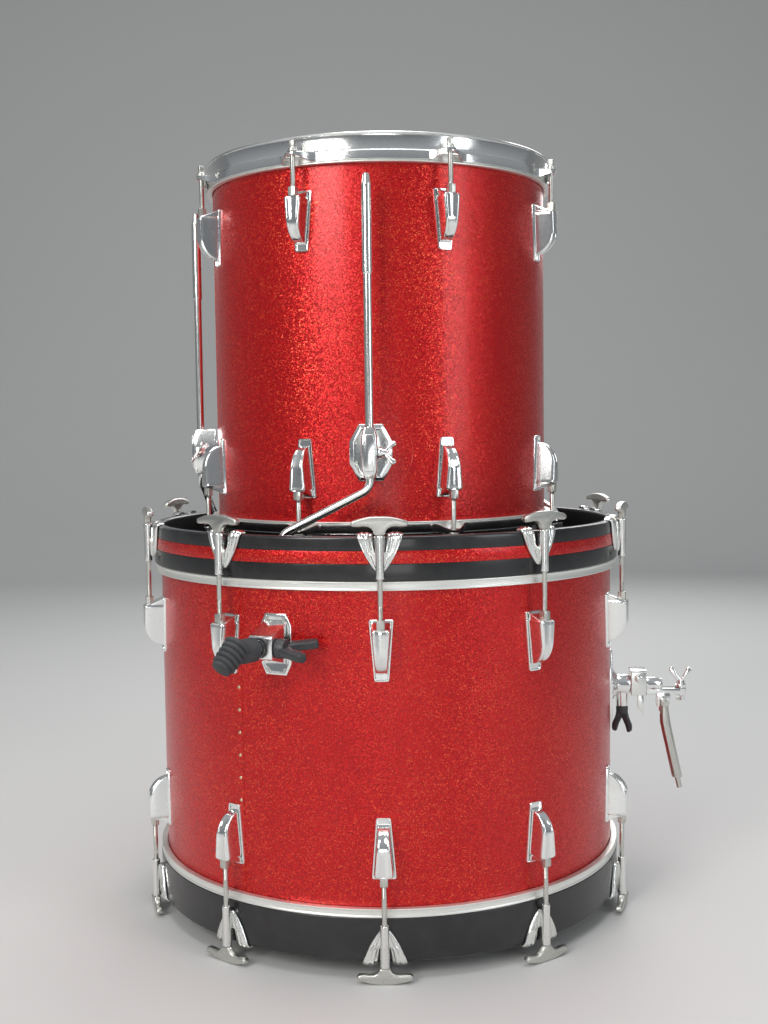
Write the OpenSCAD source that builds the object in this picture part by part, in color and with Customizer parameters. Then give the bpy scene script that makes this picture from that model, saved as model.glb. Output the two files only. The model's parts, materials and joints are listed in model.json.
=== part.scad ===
// Bass drum standing on its batter-side tuning handles, with a floor tom stacked on its front head.
// The bass drum's axis is Z, the floor is z = 0, and -Y is the front.

/* [Bass drum] */
// Outer diameter of the bass drum shell
bass_d = 558.8; // [460:1:680]
// Depth of the bass drum shell
bass_depth = 355.6; // [300:1:460]
// Thickness of the bass drum shell
bass_wall = 9; // [6:0.5:12]
// Height of a wooden hoop
hoop_h = 46.8; // [36:0.2:60]
// Thickness of a wooden hoop
hoop_wall = 11.5; // [9:0.5:14]
// Distance of a bass tension rod from the shell's outer face
bass_rod_out = 17.3; // [16.5:0.1:19]
// Height of a bass lug's rod end below the shell's edge
bass_lug_inset = 39.5; // [32:0.5:60]
// Turn of the bass drum's first lug from the front
bass_lug_az = -1.2; // [-10:0.1:10]
// Width of a tuning handle
handle_w = 59; // [50:1:64]
// Height from a hoop's edge to the crown of a lower tuning handle
handle_rise = 19.5; // [18:0.1:26]
// How much further out the upper handles stand
upper_handle_slack = 2; // [0:0.1:4]

/* [Floor tom] */
// Outer diameter of the floor tom shell
tom_d = 406.4; // [355:1:450]
// Depth of the floor tom shell
tom_depth = 406.4; // [355:1:460]
// Thickness of the floor tom shell
tom_wall = 7; // [5:0.5:10]
// Height of the tom shell's lower edge above the bass drum's front head
tom_lift = 46.8; // [46:0.2:60]
// Sideways place of the tom's axis
tom_x = -4; // [-10:0.5:10]
// Distance of a tom tension rod from the shell's outer face
tom_rod_out = 18.8; // [18:0.1:20]
// Height of a tom lug's rod end below the shell's edge
tom_lug_inset = 35.2; // [30:0.2:60]
// Turn of the tom's first lug from the front
tom_lug_az = -24.2; // [-25:0.1:-20]
// Height of a tom rim above the shell's edge
rim_rise = 22.7; // [19:0.1:26]

/* [Lugs] */
// Length of a lug
lug_h = 66; // [54:1:72]
// Width of a lug's base at its rod end
lug_base_w = 26.8; // [24:0.2:32]
// Width of a lug's base at its narrow end
lug_tip_w = 15.8; // [14:0.2:20]
// How far a lug stands off the shell
lug_out = 24.6; // [24:0.1:27]
// Radius of a tension rod
rod_r = 2.75; // [2.4:0.05:3]

/* [Floor tom legs] */
// Distance of a leg from the tom shell's outer face
leg_out = 24.8; // [20:0.1:30]
// Radius of a leg's lower part
leg_r = 4.7; // [4:0.1:5]
// Radius of a leg's knurled upper part
leg_grip_r = 5.7; // [5.1:0.05:6.2]
// Length of a leg from its upper end to its upper bend
leg_h = 335; // [310:1:360]
// Length of a leg's knurled part
leg_grip_h = 104; // [60:1:120]
// Height of a leg's lower bend above the head
leg_knee_h = 44; // [38:1:50]
// Height between a leg's two bends
leg_drop = 49; // [40:1:60]
// Sideways reach of a leg's foot
leg_reach = 97; // [70:1:100]

/* [Spurs and holder] */
// Height of the spur plates' centre above the lower edge of the shell
spur_z = 287; // [270:1:300]
// Turn of the left spur from the front
spur_az = -24.8; // [-28:0.1:-18]
// Turn of the holder from the front
holder_az = 86; // [84:0.5:92]
// Height of the holder's receiver above the lower edge of the shell
holder_z = 190; // [178:1:200]
// Radius of a spur's shaft
spur_r = 6.35; // [5:0.05:7]
// Radius of the holder's post
post_r = 5; // [4:0.05:5.5]

/* [Hidden] */
$fn = 48;
ROUND = 180; // facets of the large round faces

// Clearances
seat_gap = 0.1;      // between still pieces of one drum
run_gap = 0.05;      // between a shaft and its bore, on the radius
move_gap = 0.3;      // between pieces that move past each other
// Heads and their metal rings
head_t = 0.6;
head_skirt = 6;
ring_h = 9.8;
ring_wall = 7;
bevel_h = 5;
bevel_w = 3;
// Bass drum, from the floor up
BASS_RODS = 10;
TOM_RODS = 8;
bass_r = bass_d / 2;
hoop_seat = head_t + seat_gap;
bass_z0 = handle_rise + hoop_h + hoop_seat;
bass_z1 = bass_z0 + bass_depth;
bass_rod_r = bass_r + bass_rod_out;
hoop_r = bass_r + head_t + 7.5;
upper_rise = handle_rise + upper_handle_slack;
// Floor tom
tom_r = tom_d / 2;
tom_z0 = bass_z1 + head_t + tom_lift;
tom_z1 = tom_z0 + tom_depth;
tom_rod_r = tom_r + tom_rod_out;
rim_wall = 2.2;
rim_r = tom_r + head_t + ring_wall - 0.5;
rim_skirt = 6.2;
// Lugs
lug_plate_t = 2.6;
lug_tail_h = 8;
lug_curve_h = 26;
lug_slope_h = 8;
lug_body_w = 22.4;
lug_body_tip_w = 10.4;
nut_r = 4.6;
nut_in = 24;
nut_out = 1.5;
lug_screws = [14, 46];
screw_r = 2.1;
// Claws and tuning handles
claw_w = 48;
claw_top = 4.2;
claw_h = 36;
claw_plate_t = 5;
sleeve_r = 4.9;
sleeve_h = 45;
sleeve_top = 1.8;
handle_t = 8;
handle_end_r = 3.2;
handle_bow = 82;
crown_flat = 3;
// Floor tom legs
LEG_SIDES = ["front", "left", "rear"];
LEG_AZ = [-3, -91.7, 133.3];
leg_ring_r = tom_r + leg_out;
leg_floor_z = bass_z1 + head_t + move_gap;
leg_knee_z = leg_floor_z + leg_knee_h;
leg_bend_z = leg_knee_z + leg_drop;
leg_top_z = leg_bend_z + leg_h;
leg_foot_r = 12;
leg_foot_h = 30;
bracket_h = 63.3;
bracket_z = leg_bend_z + 7 + bracket_h / 2;
bracket_w = 48;
bracket_rise = 25;
bracket_end_w = 27;
bracket_plate_t = 3;
column_w = 19;
column_h = 56;
wing_screw_r = 3;
// Spurs
SPUR_SIDES = ["left", "right"];
HOLDER_MIRROR = 170.6;
SPUR_AZ = [spur_az, HOLDER_MIRROR - spur_az];
spur_plate_w = 37;
spur_plate_h = 66.7;
spur_plate_t = 3;
spur_box_w = 28;
spur_box_out = 35;
spur_len = 240;
spur_yaw = 15;       // the shaft leans away from the radius
SPUR_YAW = [-spur_yaw, spur_yaw];
spur_pivot = bass_r + spur_box_out / 2;
spur_neck_r = 13;
spur_neck_l = 28;
spur_foot_r = 15;
spur_foot_tilt = 40;
spur_foot_lift = 5;
spur_ribs = 5;
spur_rib_step = 6;
spur_knob_out = 24;
// Holder
plate_h = 92;
plate_w = 44;
receiver_r = 12.5;
receiver_out = 26;
collar_t = 19;
collar_h = 32;
collar_w = 24;
post_len = 96;
post_out = 60;
arm_af = 11.5;
arm_pin_r = 3;
arm_pivot_out = 67;
arm_pivot_drop = 20;
arm_side = 8;
arm_eye_t = 12.4;
arm_eye_r = 5.8;
holder_bolt_out = 89;
holder_bar_r = 7;
holder_knob_out = 24.5;

// ---------- Placing ----------
// Turns a piece that faces -Y to azimuth a, counted from the front towards +X
module at_az(a) rotate([0, 0, a]) children();
// Copies of a front-facing piece round the Z axis
module around(first, n) for (i = [0:n - 1]) at_az(first + i * 360 / n) children();
// The same at both ends of a drum that runs from z0 to z1; the piece's z = 0 is the drum's upper edge
module both_ends(z0, z1) {
    translate([0, 0, z1]) children();
    translate([0, 0, z0]) mirror([0, 0, 1]) children();
}
module at_tom() translate([tom_x, 0, 0]) children();
// An outline of distance out and height, extruded along X to width w
module from_side(w) rotate([90, 0, -90]) linear_extrude(w, center = true) children();
// An outline of X and Z, extruded outwards from distance r0 to r1
module from_front(r0, r1) translate([0, -r0, 0]) rotate([90, 0, 0]) linear_extrude(r1 - r0) children();
// A cylinder that points outwards from distance r0 to r1
module outward(r, r0, r1) translate([0, -r0, 0]) rotate([90, 0, 0]) cylinder(r = r, h = r1 - r0);
module trapezoid(w0, w1, h)
    polygon([[-w0 / 2, 0], [w0 / 2, 0], [w1 / 2, h], [-w1 / 2, h]]);
// A plate with its corners cut, ends narrower than its middle
function plate_points(w, end_w, h, rise) = [
    [w / 2, -rise / 2], [w / 2, rise / 2], [end_w / 2, h / 2], [-end_w / 2, h / 2],
    [-w / 2, rise / 2], [-w / 2, -rise / 2], [-end_w / 2, -h / 2], [end_w / 2, -h / 2]
];

// ---------- Shared drum pieces ----------
// A shell standing on z = 0 with a bearing edge at each end
module shell_tube(r, wall, h)
    rotate_extrude($fn = ROUND) polygon([
        [r - wall, bevel_h], [r - bevel_w, 0], [r - 1, 0], [r, 1],
        [r, h - 1], [r - 1, h], [r - bevel_w, h], [r - wall, h - bevel_h]
    ]);
// A head lying over a shell's edge at z = 0, its skirt turned down inside the ring
module head(r)
    rotate_extrude($fn = ROUND) polygon([
        [0, 0], [r + seat_gap, 0], [r + seat_gap, -head_skirt], [r + seat_gap + head_t, -head_skirt],
        [r + seat_gap + head_t, head_t], [0, head_t]
    ]);
module head_ring(r)
    translate([0, 0, hoop_seat - seat_gap - ring_h]) difference() {
        cylinder(r = r + 2 * seat_gap + head_t + ring_wall, h = ring_h, $fn = ROUND);
        translate([0, 0, -1]) cylinder(r = r + 2 * seat_gap + head_t, h = ring_h + 2, $fn = ROUND);
    }
// A tension lug on a shell of radius r: rod end at z = 0, narrow end at z = -lug_h
module lug(r, rod)
    translate([0, 0, -lug_h]) difference() {
        union() {
            from_front(r - 1, r + lug_plate_t) trapezoid(lug_tip_w, lug_base_w, lug_h);
            intersection() {
                from_front(r - 1, r + lug_out) trapezoid(lug_body_tip_w, lug_body_w, lug_h);
                from_side(lug_base_w) polygon([
                    [r - 1, lug_tail_h], [r, lug_tail_h],
                    for (a = [10:10:90])
                        [r + lug_out * sin(a), lug_tail_h + lug_curve_h * (1 - cos(a))],
                    [r + lug_out, lug_h - lug_slope_h], [r, lug_h], [r - 1, lug_h]
                ]);
            }
        }
        translate([0, 0, -1]) cylinder(r = r + seat_gap, h = lug_h + 2, $fn = ROUND);
        translate([0, -rod, lug_h - nut_in - 6]) cylinder(r = nut_r + run_gap, h = nut_in + 7);
        for (z = lug_screws) translate([0, 0, z]) outward(screw_r + run_gap, r - 1, r + 9);
    }
// The swivel nut that stands out of a lug's rod end
module lug_nut(rod)
    translate([0, -rod, -nut_in]) difference() {
        cylinder(r = nut_r, h = nut_in + nut_out);
        translate([0, 0, -1]) cylinder(r = rod_r + run_gap, h = nut_in + nut_out + 2);
    }
// A screw from inside the shell, its washer and head on the inner face
module shell_screw(r, wall, into) {
    outward(screw_r, r - wall - 1, r + into);
    outward(4.6, r - wall - 1.8, r - wall - 0.4);
    outward(3.8, r - wall - 4.4, r - wall - 1.8);
}
// Where a flat washer of half-width x lies inside a shell's inner face
function washer_seat(r, x) = sqrt(r * r - x * x) - seat_gap;
module lug_screw_set(r, wall, inset)
    for (z = lug_screws) translate([0, 0, z - inset - lug_h]) shell_screw(r, wall, 8);
module lug_screw_holes(r, wall, inset)
    for (z = lug_screws) translate([0, 0, z - inset - lug_h])
        outward(screw_r + run_gap, r - wall - 2, r + 2);
module tack(r) outward(2, r + seat_gap, r + 1);
module vent(r, wall) difference() {
    union() {
        outward(5.9, r - wall - 2, r + 1);
        outward(9, r + seat_gap, r + 1.8);
    }
    outward(4, r - wall - 3, r + 3);
}
// A wing screw or wing knob along +X: its hub, two flared wings and the screw behind the hub
module wing_knob(hub_r, hub_l, reach, span, t, pin_r, pin_l) {
    rotate([0, 90, 0]) cylinder(r = hub_r, h = hub_l);
    translate([-pin_l, 0, 0]) rotate([0, 90, 0]) cylinder(r = pin_r, h = pin_l + 1);
    rotate([90, 0, 0]) linear_extrude(t, center = true) polygon([
        [0.2 * hub_l, 0], [0.3 * hub_l, hub_r * 0.9], [reach * 0.82, span], [reach, span * 0.98],
        [reach, span * 0.62], [hub_l + 1, 0],
        [reach, -span * 0.62], [reach, -span * 0.98], [reach * 0.82, -span],
        [0.3 * hub_l, -hub_r * 0.9]
    ]);
}

// ---------- Bass drum ----------
module bass_shell() color("firebrick") difference() {
    translate([0, 0, bass_z0]) shell_tube(bass_r, bass_wall, bass_depth);
    both_ends(bass_z0, bass_z1) around(bass_lug_az, BASS_RODS)
        lug_screw_holes(bass_r, bass_wall, bass_lug_inset);
    spur_places() {
        plate_corners(spur_plate_w, spur_plate_h) plate_screw_hole(bass_r, bass_wall, spur_plate_t);
    }
    for (i = [0, 1]) spur_line(i) outward(spur_r + 2, bass_r - bass_wall - 6, bass_r + 5);
    holder_place() {
        outward(post_r + 2, bass_r - bass_wall - 2, bass_r + 2);
        plate_corners(plate_w, plate_h) plate_screw_hole(bass_r, bass_wall, spur_plate_t);
    }
    vent_place() outward(6, bass_r - bass_wall - 2, bass_r + 2);
}
module vent_place() at_az(155) translate([0, 0, (bass_z0 + bass_z1) / 2]) children();
tack_step = 25;
// The row runs beside two lugs, whose feet cover it, so the tacks stand between those feet
tack_from = bass_lug_inset + lug_h + 5;
module bass_seam_tacks() color("goldenrod")
    for (z = [bass_z0 + tack_from:tack_step:bass_z1 - tack_from])
        at_az(-35.3) translate([0, 0, z]) tack(bass_r);
module bass_front_head() color("black") translate([0, 0, bass_z1]) head(bass_r);
module bass_batter_head() color("whitesmoke") translate([0, 0, bass_z0]) mirror([0, 0, 1]) head(bass_r);
module bass_head_rings() color("silver") both_ends(bass_z0, bass_z1) head_ring(bass_r);

inlay_z0 = 19;
inlay_h = 13.4;
inlay_t = 1;
hoop_round = 1.5;
// A wooden hoop on a head's ring, z = 0 being the shell's edge
module hoop_ring() translate([0, 0, hoop_seat]) rotate_extrude($fn = ROUND) polygon([
    [hoop_r - hoop_wall, 0], [hoop_r, 0], [hoop_r, hoop_h - hoop_round],
    [hoop_r - hoop_round, hoop_h], [hoop_r - hoop_wall + hoop_round, hoop_h],
    [hoop_r - hoop_wall, hoop_h - hoop_round]
]);
module inlay_band(grow) difference() {
    translate([0, 0, inlay_z0 - grow]) cylinder(r = hoop_r + grow * 5, h = inlay_h + 2 * grow, $fn = ROUND);
    translate([0, 0, inlay_z0 - 2]) cylinder(r = hoop_r - inlay_t - grow, h = inlay_h + 4, $fn = ROUND);
}
module bass_front_hoop() color("black") translate([0, 0, bass_z1]) difference() {
    hoop_ring();
    inlay_band(0.05);
}
module bass_front_hoop_inlay() color("firebrick") translate([0, 0, bass_z1]) inlay_band(0);
module bass_batter_hoop() color("black") translate([0, 0, bass_z0]) mirror([0, 0, 1]) hoop_ring();

module bass_lugs() color("silver") both_ends(bass_z0, bass_z1) around(bass_lug_az, BASS_RODS)
    translate([0, 0, -bass_lug_inset]) lug(bass_r, bass_rod_r);
module bass_lug_nuts() color("goldenrod") both_ends(bass_z0, bass_z1)
    around(bass_lug_az, BASS_RODS) translate([0, 0, -bass_lug_inset]) lug_nut(bass_rod_r);
module bass_shell_screws() color("silver") {
    both_ends(bass_z0, bass_z1) around(bass_lug_az, BASS_RODS)
        lug_screw_set(bass_r, bass_wall, bass_lug_inset);
    spur_places() plate_corners(spur_plate_w, spur_plate_h)
        plate_screw(bass_r, bass_wall, spur_plate_t, spur_plate_w / 2 - corner_in);
    holder_place() plate_corners(plate_w, plate_h)
        plate_screw(bass_r, bass_wall, spur_plate_t, plate_w / 2 - corner_in);
}
corner_in = 8;
plate_washer_r = 4.2;
module plate_corners(w, h) for (sx = [-1, 1], sz = [-1, 1])
    translate([sx * (w / 2 - corner_in), 0, sz * (h / 2 - 6)]) children();
// A screw from inside the shell into a plate of thickness t, x off the plate's middle
module plate_screw(r, wall, t, x) {
    seat = washer_seat(r - wall, x + plate_washer_r);
    outward(screw_r, seat - 3.6, r + t - 0.8);
    outward(plate_washer_r, seat - 3, seat);
}
module plate_screw_hole(r, wall, t) outward(screw_r + run_gap, r - wall - 3, r + t - 0.7);

// Half of a claw's front outline, from its hooked edge down to its root on the sleeve
claw_slot_x0 = 5;
claw_slot_x1 = 8;
claw_slot_h = 17;
module claw_half() polygon([
    [0, -claw_h], [4.5, -claw_h], [7.4, -31.5], [13.5, -22.5], [20.5, -8], [claw_w / 2, claw_top],
    [claw_slot_x1, claw_top], [claw_slot_x1, 0], [claw_slot_x0 + 1, -claw_slot_h],
    [claw_slot_x0, -claw_slot_h], [0, -claw_slot_h]
]);
// A claw over a hoop's edge at z = 0, with the sleeve that its rod runs in
module claw() difference() {
    union() {
        from_front(hoop_r + move_gap, hoop_r + move_gap + claw_plate_t) {
            claw_half();
            mirror([1, 0]) claw_half();
        }
        for (side = [0, 1]) mirror([side, 0, 0])
            translate([claw_slot_x1, -hoop_r - 1, seat_gap])
                cube([claw_w / 2 - claw_slot_x1 - 0.5, 9, claw_top - seat_gap]);
        translate([0, -bass_rod_r, sleeve_top - sleeve_h]) cylinder(r = sleeve_r, h = sleeve_h);
        translate([-3.5, -bass_rod_r, sleeve_top - sleeve_h + 8])
            cube([7, bass_rod_out - 7.5 - head_t - claw_plate_t / 2, sleeve_h - 8]);
    }
    translate([0, -bass_rod_r, -sleeve_h]) cylinder(r = rod_r + run_gap, h = 2 * sleeve_h);
}
module bass_claws() color("gainsboro") both_ends(bass_z0 - hoop_seat - hoop_h, bass_z1 + hoop_seat + hoop_h)
    around(bass_lug_az, BASS_RODS) claw();

// Outline of a tuning handle with its crown at z = 0
function bow_top(x) = -pow(max(0, abs(x) - crown_flat), 2) / handle_bow * 0.62;
function bow_depth(x) = 6.4 + 4 * pow(1 - 2 * abs(x) / handle_w, 2);
bow_x = handle_w / 2 - handle_end_r;
bow_step = 4;
module handle_outline(neck_h) {
    polygon([
        [-bow_x, bow_top(bow_x)],
        for (x = [-23:bow_step:-crown_flat]) [x, bow_top(x)],
        for (x = [crown_flat:bow_step:23]) [x, bow_top(x)],
        [bow_x, bow_top(bow_x)], [bow_x, bow_top(bow_x) - 2 * handle_end_r],
        [20, bow_top(20) - bow_depth(20)], [13, bow_top(13) - bow_depth(13) - 0.4],
        [8, -12.2], [5.6, -14.5], [5, -neck_h], [-5, -neck_h], [-5.6, -14.5], [-8, -12.2],
        [-13, bow_top(13) - bow_depth(13) - 0.4], [-20, bow_top(20) - bow_depth(20)],
        [-bow_x, bow_top(bow_x) - 2 * handle_end_r]
    ]);
    for (side = [-1, 1]) translate([side * bow_x, bow_top(bow_x) - handle_end_r])
        circle(r = handle_end_r);
}
// A tension rod whose handle stands rise above a hoop's edge at z = 0
module t_rod(rise) {
    from_front(bass_rod_r - handle_t / 2, bass_rod_r + handle_t / 2)
        translate([0, rise]) handle_outline(rise - sleeve_top - seat_gap);
    foot = -hoop_h - hoop_seat - bass_lug_inset - nut_in + 6;
    translate([0, -bass_rod_r, foot]) cylinder(r = rod_r, h = rise - foot - 6);
}
module bass_batter_t_rods() color("lightgray") translate([0, 0, bass_z0 - hoop_seat - hoop_h])
    mirror([0, 0, 1]) around(bass_lug_az, BASS_RODS) t_rod(handle_rise);
module upper_t_rod(i) color("lightgray") translate([0, 0, bass_z1 + hoop_seat + hoop_h])
    at_az(bass_lug_az + i * 360 / BASS_RODS) t_rod(upper_rise);
module bass_vent_grommet() color("silver") vent_place() vent(bass_r, bass_wall);

// ---------- Spurs ----------
module spur_places() for (i = [0, 1]) spur_place(i) children();
module spur_place(i) at_az(SPUR_AZ[i]) translate([0, 0, bass_z0 + spur_z]) children();
// A spur's own line: level, through the middle of its housing, and leaning away from the radius
module spur_line(i) spur_place(i) translate([0, -spur_pivot, 0]) rotate([0, 0, SPUR_YAW[i]])
    translate([0, spur_pivot, 0]) children();
module spur_brackets() color("gainsboro") difference() {
    spur_places() union() {
        from_front(bass_r - 1, bass_r + spur_plate_t)
            polygon(plate_points(spur_plate_w, spur_plate_w - 12, spur_plate_h, spur_plate_h - 26));
        from_side(spur_box_w) polygon([
            [bass_r + 1, 24], [bass_r + 16, 19], [bass_r + spur_box_out, 13],
            [bass_r + spur_box_out, -11], [bass_r + 1, -22]
        ]);
    }
    for (i = [0, 1]) spur_line(i) outward(spur_r + run_gap, bass_r - 8, bass_r + spur_box_out + 4);
    spur_places() {
        translate([0, 0, -spur_plate_h])
            cylinder(r = bass_r + seat_gap, h = 2 * spur_plate_h, $fn = ROUND);
        plate_corners(spur_plate_w, spur_plate_h) plate_screw_hole(bass_r, bass_wall, spur_plate_t);
        translate([0, -bass_r - spur_knob_out, 0]) rotate([0, 90, 0])
            cylinder(r = wing_screw_r + run_gap, h = spur_box_w);
    }
}
spur_neck_r0 = spur_pivot + (spur_box_out / 2 + move_gap) / cos(spur_yaw) + spur_neck_r * tan(spur_yaw);
module spur(i) color("silver") spur_line(i)
    outward(spur_r, spur_neck_r0 + 12 - spur_len, spur_neck_r0 + 12);
// The rubber foot: a level neck and a ribbed barrel that hangs forward of it
module spur_foot(i) color("dimgray") spur_line(i) difference() {
    union() {
        outward(spur_neck_r, spur_neck_r0, spur_neck_r0 + spur_neck_l);
        translate([0, -spur_neck_r0 - spur_neck_l + 4, spur_foot_lift]) rotate([spur_foot_tilt, 0, 0]) {
            for (k = [0:spur_ribs - 1])
                outward(spur_foot_r - 0.5 * k, -3 + spur_rib_step * k, 1.2 + spur_rib_step * k);
            outward(spur_foot_r - 3, -4, spur_rib_step * spur_ribs);
        }
    }
    outward(spur_r + seat_gap / 2, spur_neck_r0 - 1, spur_neck_r0 + 12 + seat_gap);
}
module spur_knob(i) color("black") spur_place(i)
    translate([spur_box_w / 2 + move_gap, -bass_r - spur_knob_out, 0]) rotate([-72, 0, 0])
        wing_knob(11, 12, 42, 20, 9, wing_screw_r, spur_box_w / 2 - spur_r - 2.8);

// ---------- Holder ----------
module holder_place() at_az(holder_az) translate([0, 0, bass_z0 + holder_z]) children();
module holder_base() color("gainsboro") holder_place() difference() {
    union() {
        from_front(bass_r - 2, bass_r + spur_plate_t)
            polygon(plate_points(plate_w, plate_w - 14, plate_h, plate_h - 34));
        outward(receiver_r + 4, bass_r, bass_r + 8);
        outward(receiver_r, bass_r, bass_r + receiver_out);
        translate([0, -bass_r - holder_knob_out + 8, -27]) cylinder(r = 8, h = 20);
    }
    translate([0, 0, -plate_h]) cylinder(r = bass_r + seat_gap, h = 2 * plate_h, $fn = ROUND);
    outward(post_r + run_gap, bass_r - 2, bass_r + receiver_out + 1);
    translate([0, -bass_r - holder_knob_out + 8, -30]) cylinder(r = wing_screw_r + run_gap, h = 30);
    plate_corners(plate_w, plate_h) plate_screw_hole(bass_r, bass_wall, spur_plate_t);
}
module holder_knob() color("black") holder_place()
    translate([0, -bass_r - holder_knob_out + 8, -27 - move_gap]) rotate([0, 0, 65]) rotate([0, 90, 0])
        wing_knob(7.5, 10, 34, 13, 6, wing_screw_r, 27 + move_gap - post_r - 0.4);
module holder_post() color("silver") holder_place()
    outward(post_r, bass_r + post_out - post_len, bass_r + post_out);
collar_r0 = bass_r + receiver_out + move_gap;
module holder_collar() color("silver") holder_place() difference() {
    union() {
        translate([-collar_w / 2, -collar_r0 - collar_t, -collar_h * 0.4])
            cube([collar_w, collar_t, collar_h]);
        from_collar_fin();
        translate([-collar_w / 2 - 2, -collar_r0 - collar_t / 2, 10]) rotate([0, 90, 0])
            cylinder(r = 4.5, h = collar_w + 4);
    }
    outward(post_r + seat_gap / 2, collar_r0 - 1, collar_r0 + collar_t + 1);
}
// The tail below the collar, tapering downwards
module from_collar_fin() translate([-7.5, 0, -collar_h * 0.4]) from_side(5) polygon([
    [collar_r0 + 8, 0], [collar_r0 + 16, 0], [collar_r0 + 16, -26], [collar_r0 + 11, -18],
    [collar_r0 + 8, -14]
]);
head_r0 = collar_r0 + collar_t + move_gap;
module holder_head() color("gainsboro") holder_place() difference() {
    union() {
        outward(9, head_r0, bass_r + post_out + 6);
        translate([-holder_bar_r, -bass_r - holder_bolt_out, -13])
            cube([2 * holder_bar_r, bass_r + holder_bolt_out - head_r0, 9]);
        translate([0, -bass_r - holder_bolt_out, -13]) cylinder(r = holder_bar_r, h = 9);
        translate([-arm_side + move_gap, -bass_r - arm_pivot_out - 9, -arm_pivot_drop - 8])
            cube([2 * arm_side - 2 * move_gap, 18, 16]);
    }
    outward(post_r + run_gap, head_r0 - 1, bass_r + post_out + 0.4);
    translate([0, -bass_r - holder_bolt_out, -20]) cylinder(r = wing_screw_r + run_gap, h = 20);
    translate([-arm_side - 1, -bass_r - arm_pivot_out, -arm_pivot_drop]) rotate([0, 90, 0])
        cylinder(r = arm_pin_r + run_gap, h = 2 * arm_side + 2);
}
arm_bend = 24;
arm_run = 72;
arm_lean = 12.6;
arm_tip = 13;
arm_hex_r = arm_af / 2 / cos(30);
// A six-sided rod that hangs from its pivot, leans outwards below a bend and ends in a round tip
module holder_arm() color("silver") holder_place()
    translate([-arm_side - arm_eye_t / 2, -bass_r - arm_pivot_out, -arm_pivot_drop]) {
        translate([-arm_eye_t / 2, 0, 0]) rotate([0, 90, 0]) cylinder(r = arm_eye_r, h = arm_eye_t);
        rotate([0, 90, 0])
            cylinder(r = arm_pin_r, h = 2 * arm_side + arm_eye_t / 2 + 3);
        translate([0, 0, -arm_bend]) rotate([0, 0, 30])
            cylinder(r = arm_hex_r, h = arm_bend - 3, $fn = 6);
        translate([0, 0, -arm_bend]) sphere(r = arm_hex_r + 0.4);
        translate([0, 0, -arm_bend]) rotate([-arm_lean, 0, 0]) {
            translate([0, 0, -arm_run]) rotate([0, 0, 30]) cylinder(r = arm_hex_r, h = arm_run, $fn = 6);
            translate([0, 0, -arm_run - arm_tip]) cylinder(r = 3.2, h = arm_tip + 1);
        }
    }
module holder_wing_screw() color("silver") holder_place()
    translate([0, -bass_r - holder_bolt_out, -4 + move_gap]) rotate([0, 0, 90]) rotate([0, -90, 0])
        wing_knob(7, 9, 26, 15, 4, wing_screw_r, 14);

// ---------- Floor tom ----------
module tom_shell() color("firebrick") at_tom() difference() {
    translate([0, 0, tom_z0]) shell_tube(tom_r, tom_wall, tom_depth);
    both_ends(tom_z0, tom_z1) around(tom_lug_az, TOM_RODS)
        lug_screw_holes(tom_r, tom_wall, tom_lug_inset);
    leg_places() bracket_screws() plate_screw_hole(tom_r, tom_wall, bracket_plate_t);
    tom_vent_place() outward(6, tom_r - tom_wall - 2, tom_r + 2);
}
module tom_vent_place() at_az(178) translate([0, 0, (tom_z0 + tom_z1) / 2]) children();
module tom_seam_tacks() color("goldenrod") at_tom()
    for (z = [tom_z0 + 24:tack_step + 3:tom_z1 - 24]) at_az(-80) translate([0, 0, z]) tack(tom_r);
module tom_top_head() color("whitesmoke") at_tom() translate([0, 0, tom_z1]) head(tom_r);
module tom_bottom_head() color("whitesmoke") at_tom() translate([0, 0, tom_z0])
    mirror([0, 0, 1]) head(tom_r);
module tom_head_rings() color("silver") at_tom() both_ends(tom_z0, tom_z1) head_ring(tom_r);

// A flanged steel hoop over a head's ring: skirt, step, wall and rolled top flange
ear_out = tom_rod_out + 6;
ear_w = 20;
ear_t = 2.4;
arch_w = 26; // the skirt is cut away behind each rod
step_z = hoop_seat + 0.2;
module rim() difference() {
    union() {
        rotate_extrude($fn = ROUND) polygon([
            [rim_r + 1.4, -rim_skirt], [rim_r + 1.4 + rim_wall, -rim_skirt],
            [rim_r + 1.4 + rim_wall, step_z + rim_wall], [rim_r - 2, step_z + rim_wall + 1],
            [rim_r - 2, rim_rise - rim_wall], [rim_r, rim_rise - rim_wall],
            [rim_r, rim_rise], [rim_r - 2 - rim_wall, rim_rise],
            [rim_r - 2 - rim_wall, step_z], [rim_r + 1.4, step_z]
        ]);
        around(tom_lug_az, TOM_RODS) translate([-ear_w / 2, -tom_r - ear_out, step_z])
            cube([ear_w, ear_out - (rim_r - tom_r) - 2.4, ear_t]);
    }
    around(tom_lug_az, TOM_RODS) {
        translate([0, -tom_rod_r, step_z - 1]) cylinder(r = rod_r + 0.4, h = ear_t + 2);
        from_front(rim_r, tom_r + ear_out) polygon([
            [-arch_w / 2, -rim_skirt - 1], [arch_w / 2, -rim_skirt - 1],
            [arch_w / 3, step_z - 0.4], [-arch_w / 3, step_z - 0.4]
        ]);
    }
}
module tom_top_hoop() color("gainsboro") at_tom() translate([0, 0, tom_z1]) rim();
module tom_bottom_hoop() color("gainsboro") at_tom() translate([0, 0, tom_z0])
    mirror([0, 0, 1]) rim();
module tom_lugs() color("silver") at_tom() both_ends(tom_z0, tom_z1)
    around(tom_lug_az, TOM_RODS) translate([0, 0, -tom_lug_inset]) lug(tom_r, tom_rod_r);
module tom_lug_nuts() color("goldenrod") at_tom() both_ends(tom_z0, tom_z1)
    around(tom_lug_az, TOM_RODS) translate([0, 0, -tom_lug_inset]) lug_nut(tom_rod_r);
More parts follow.
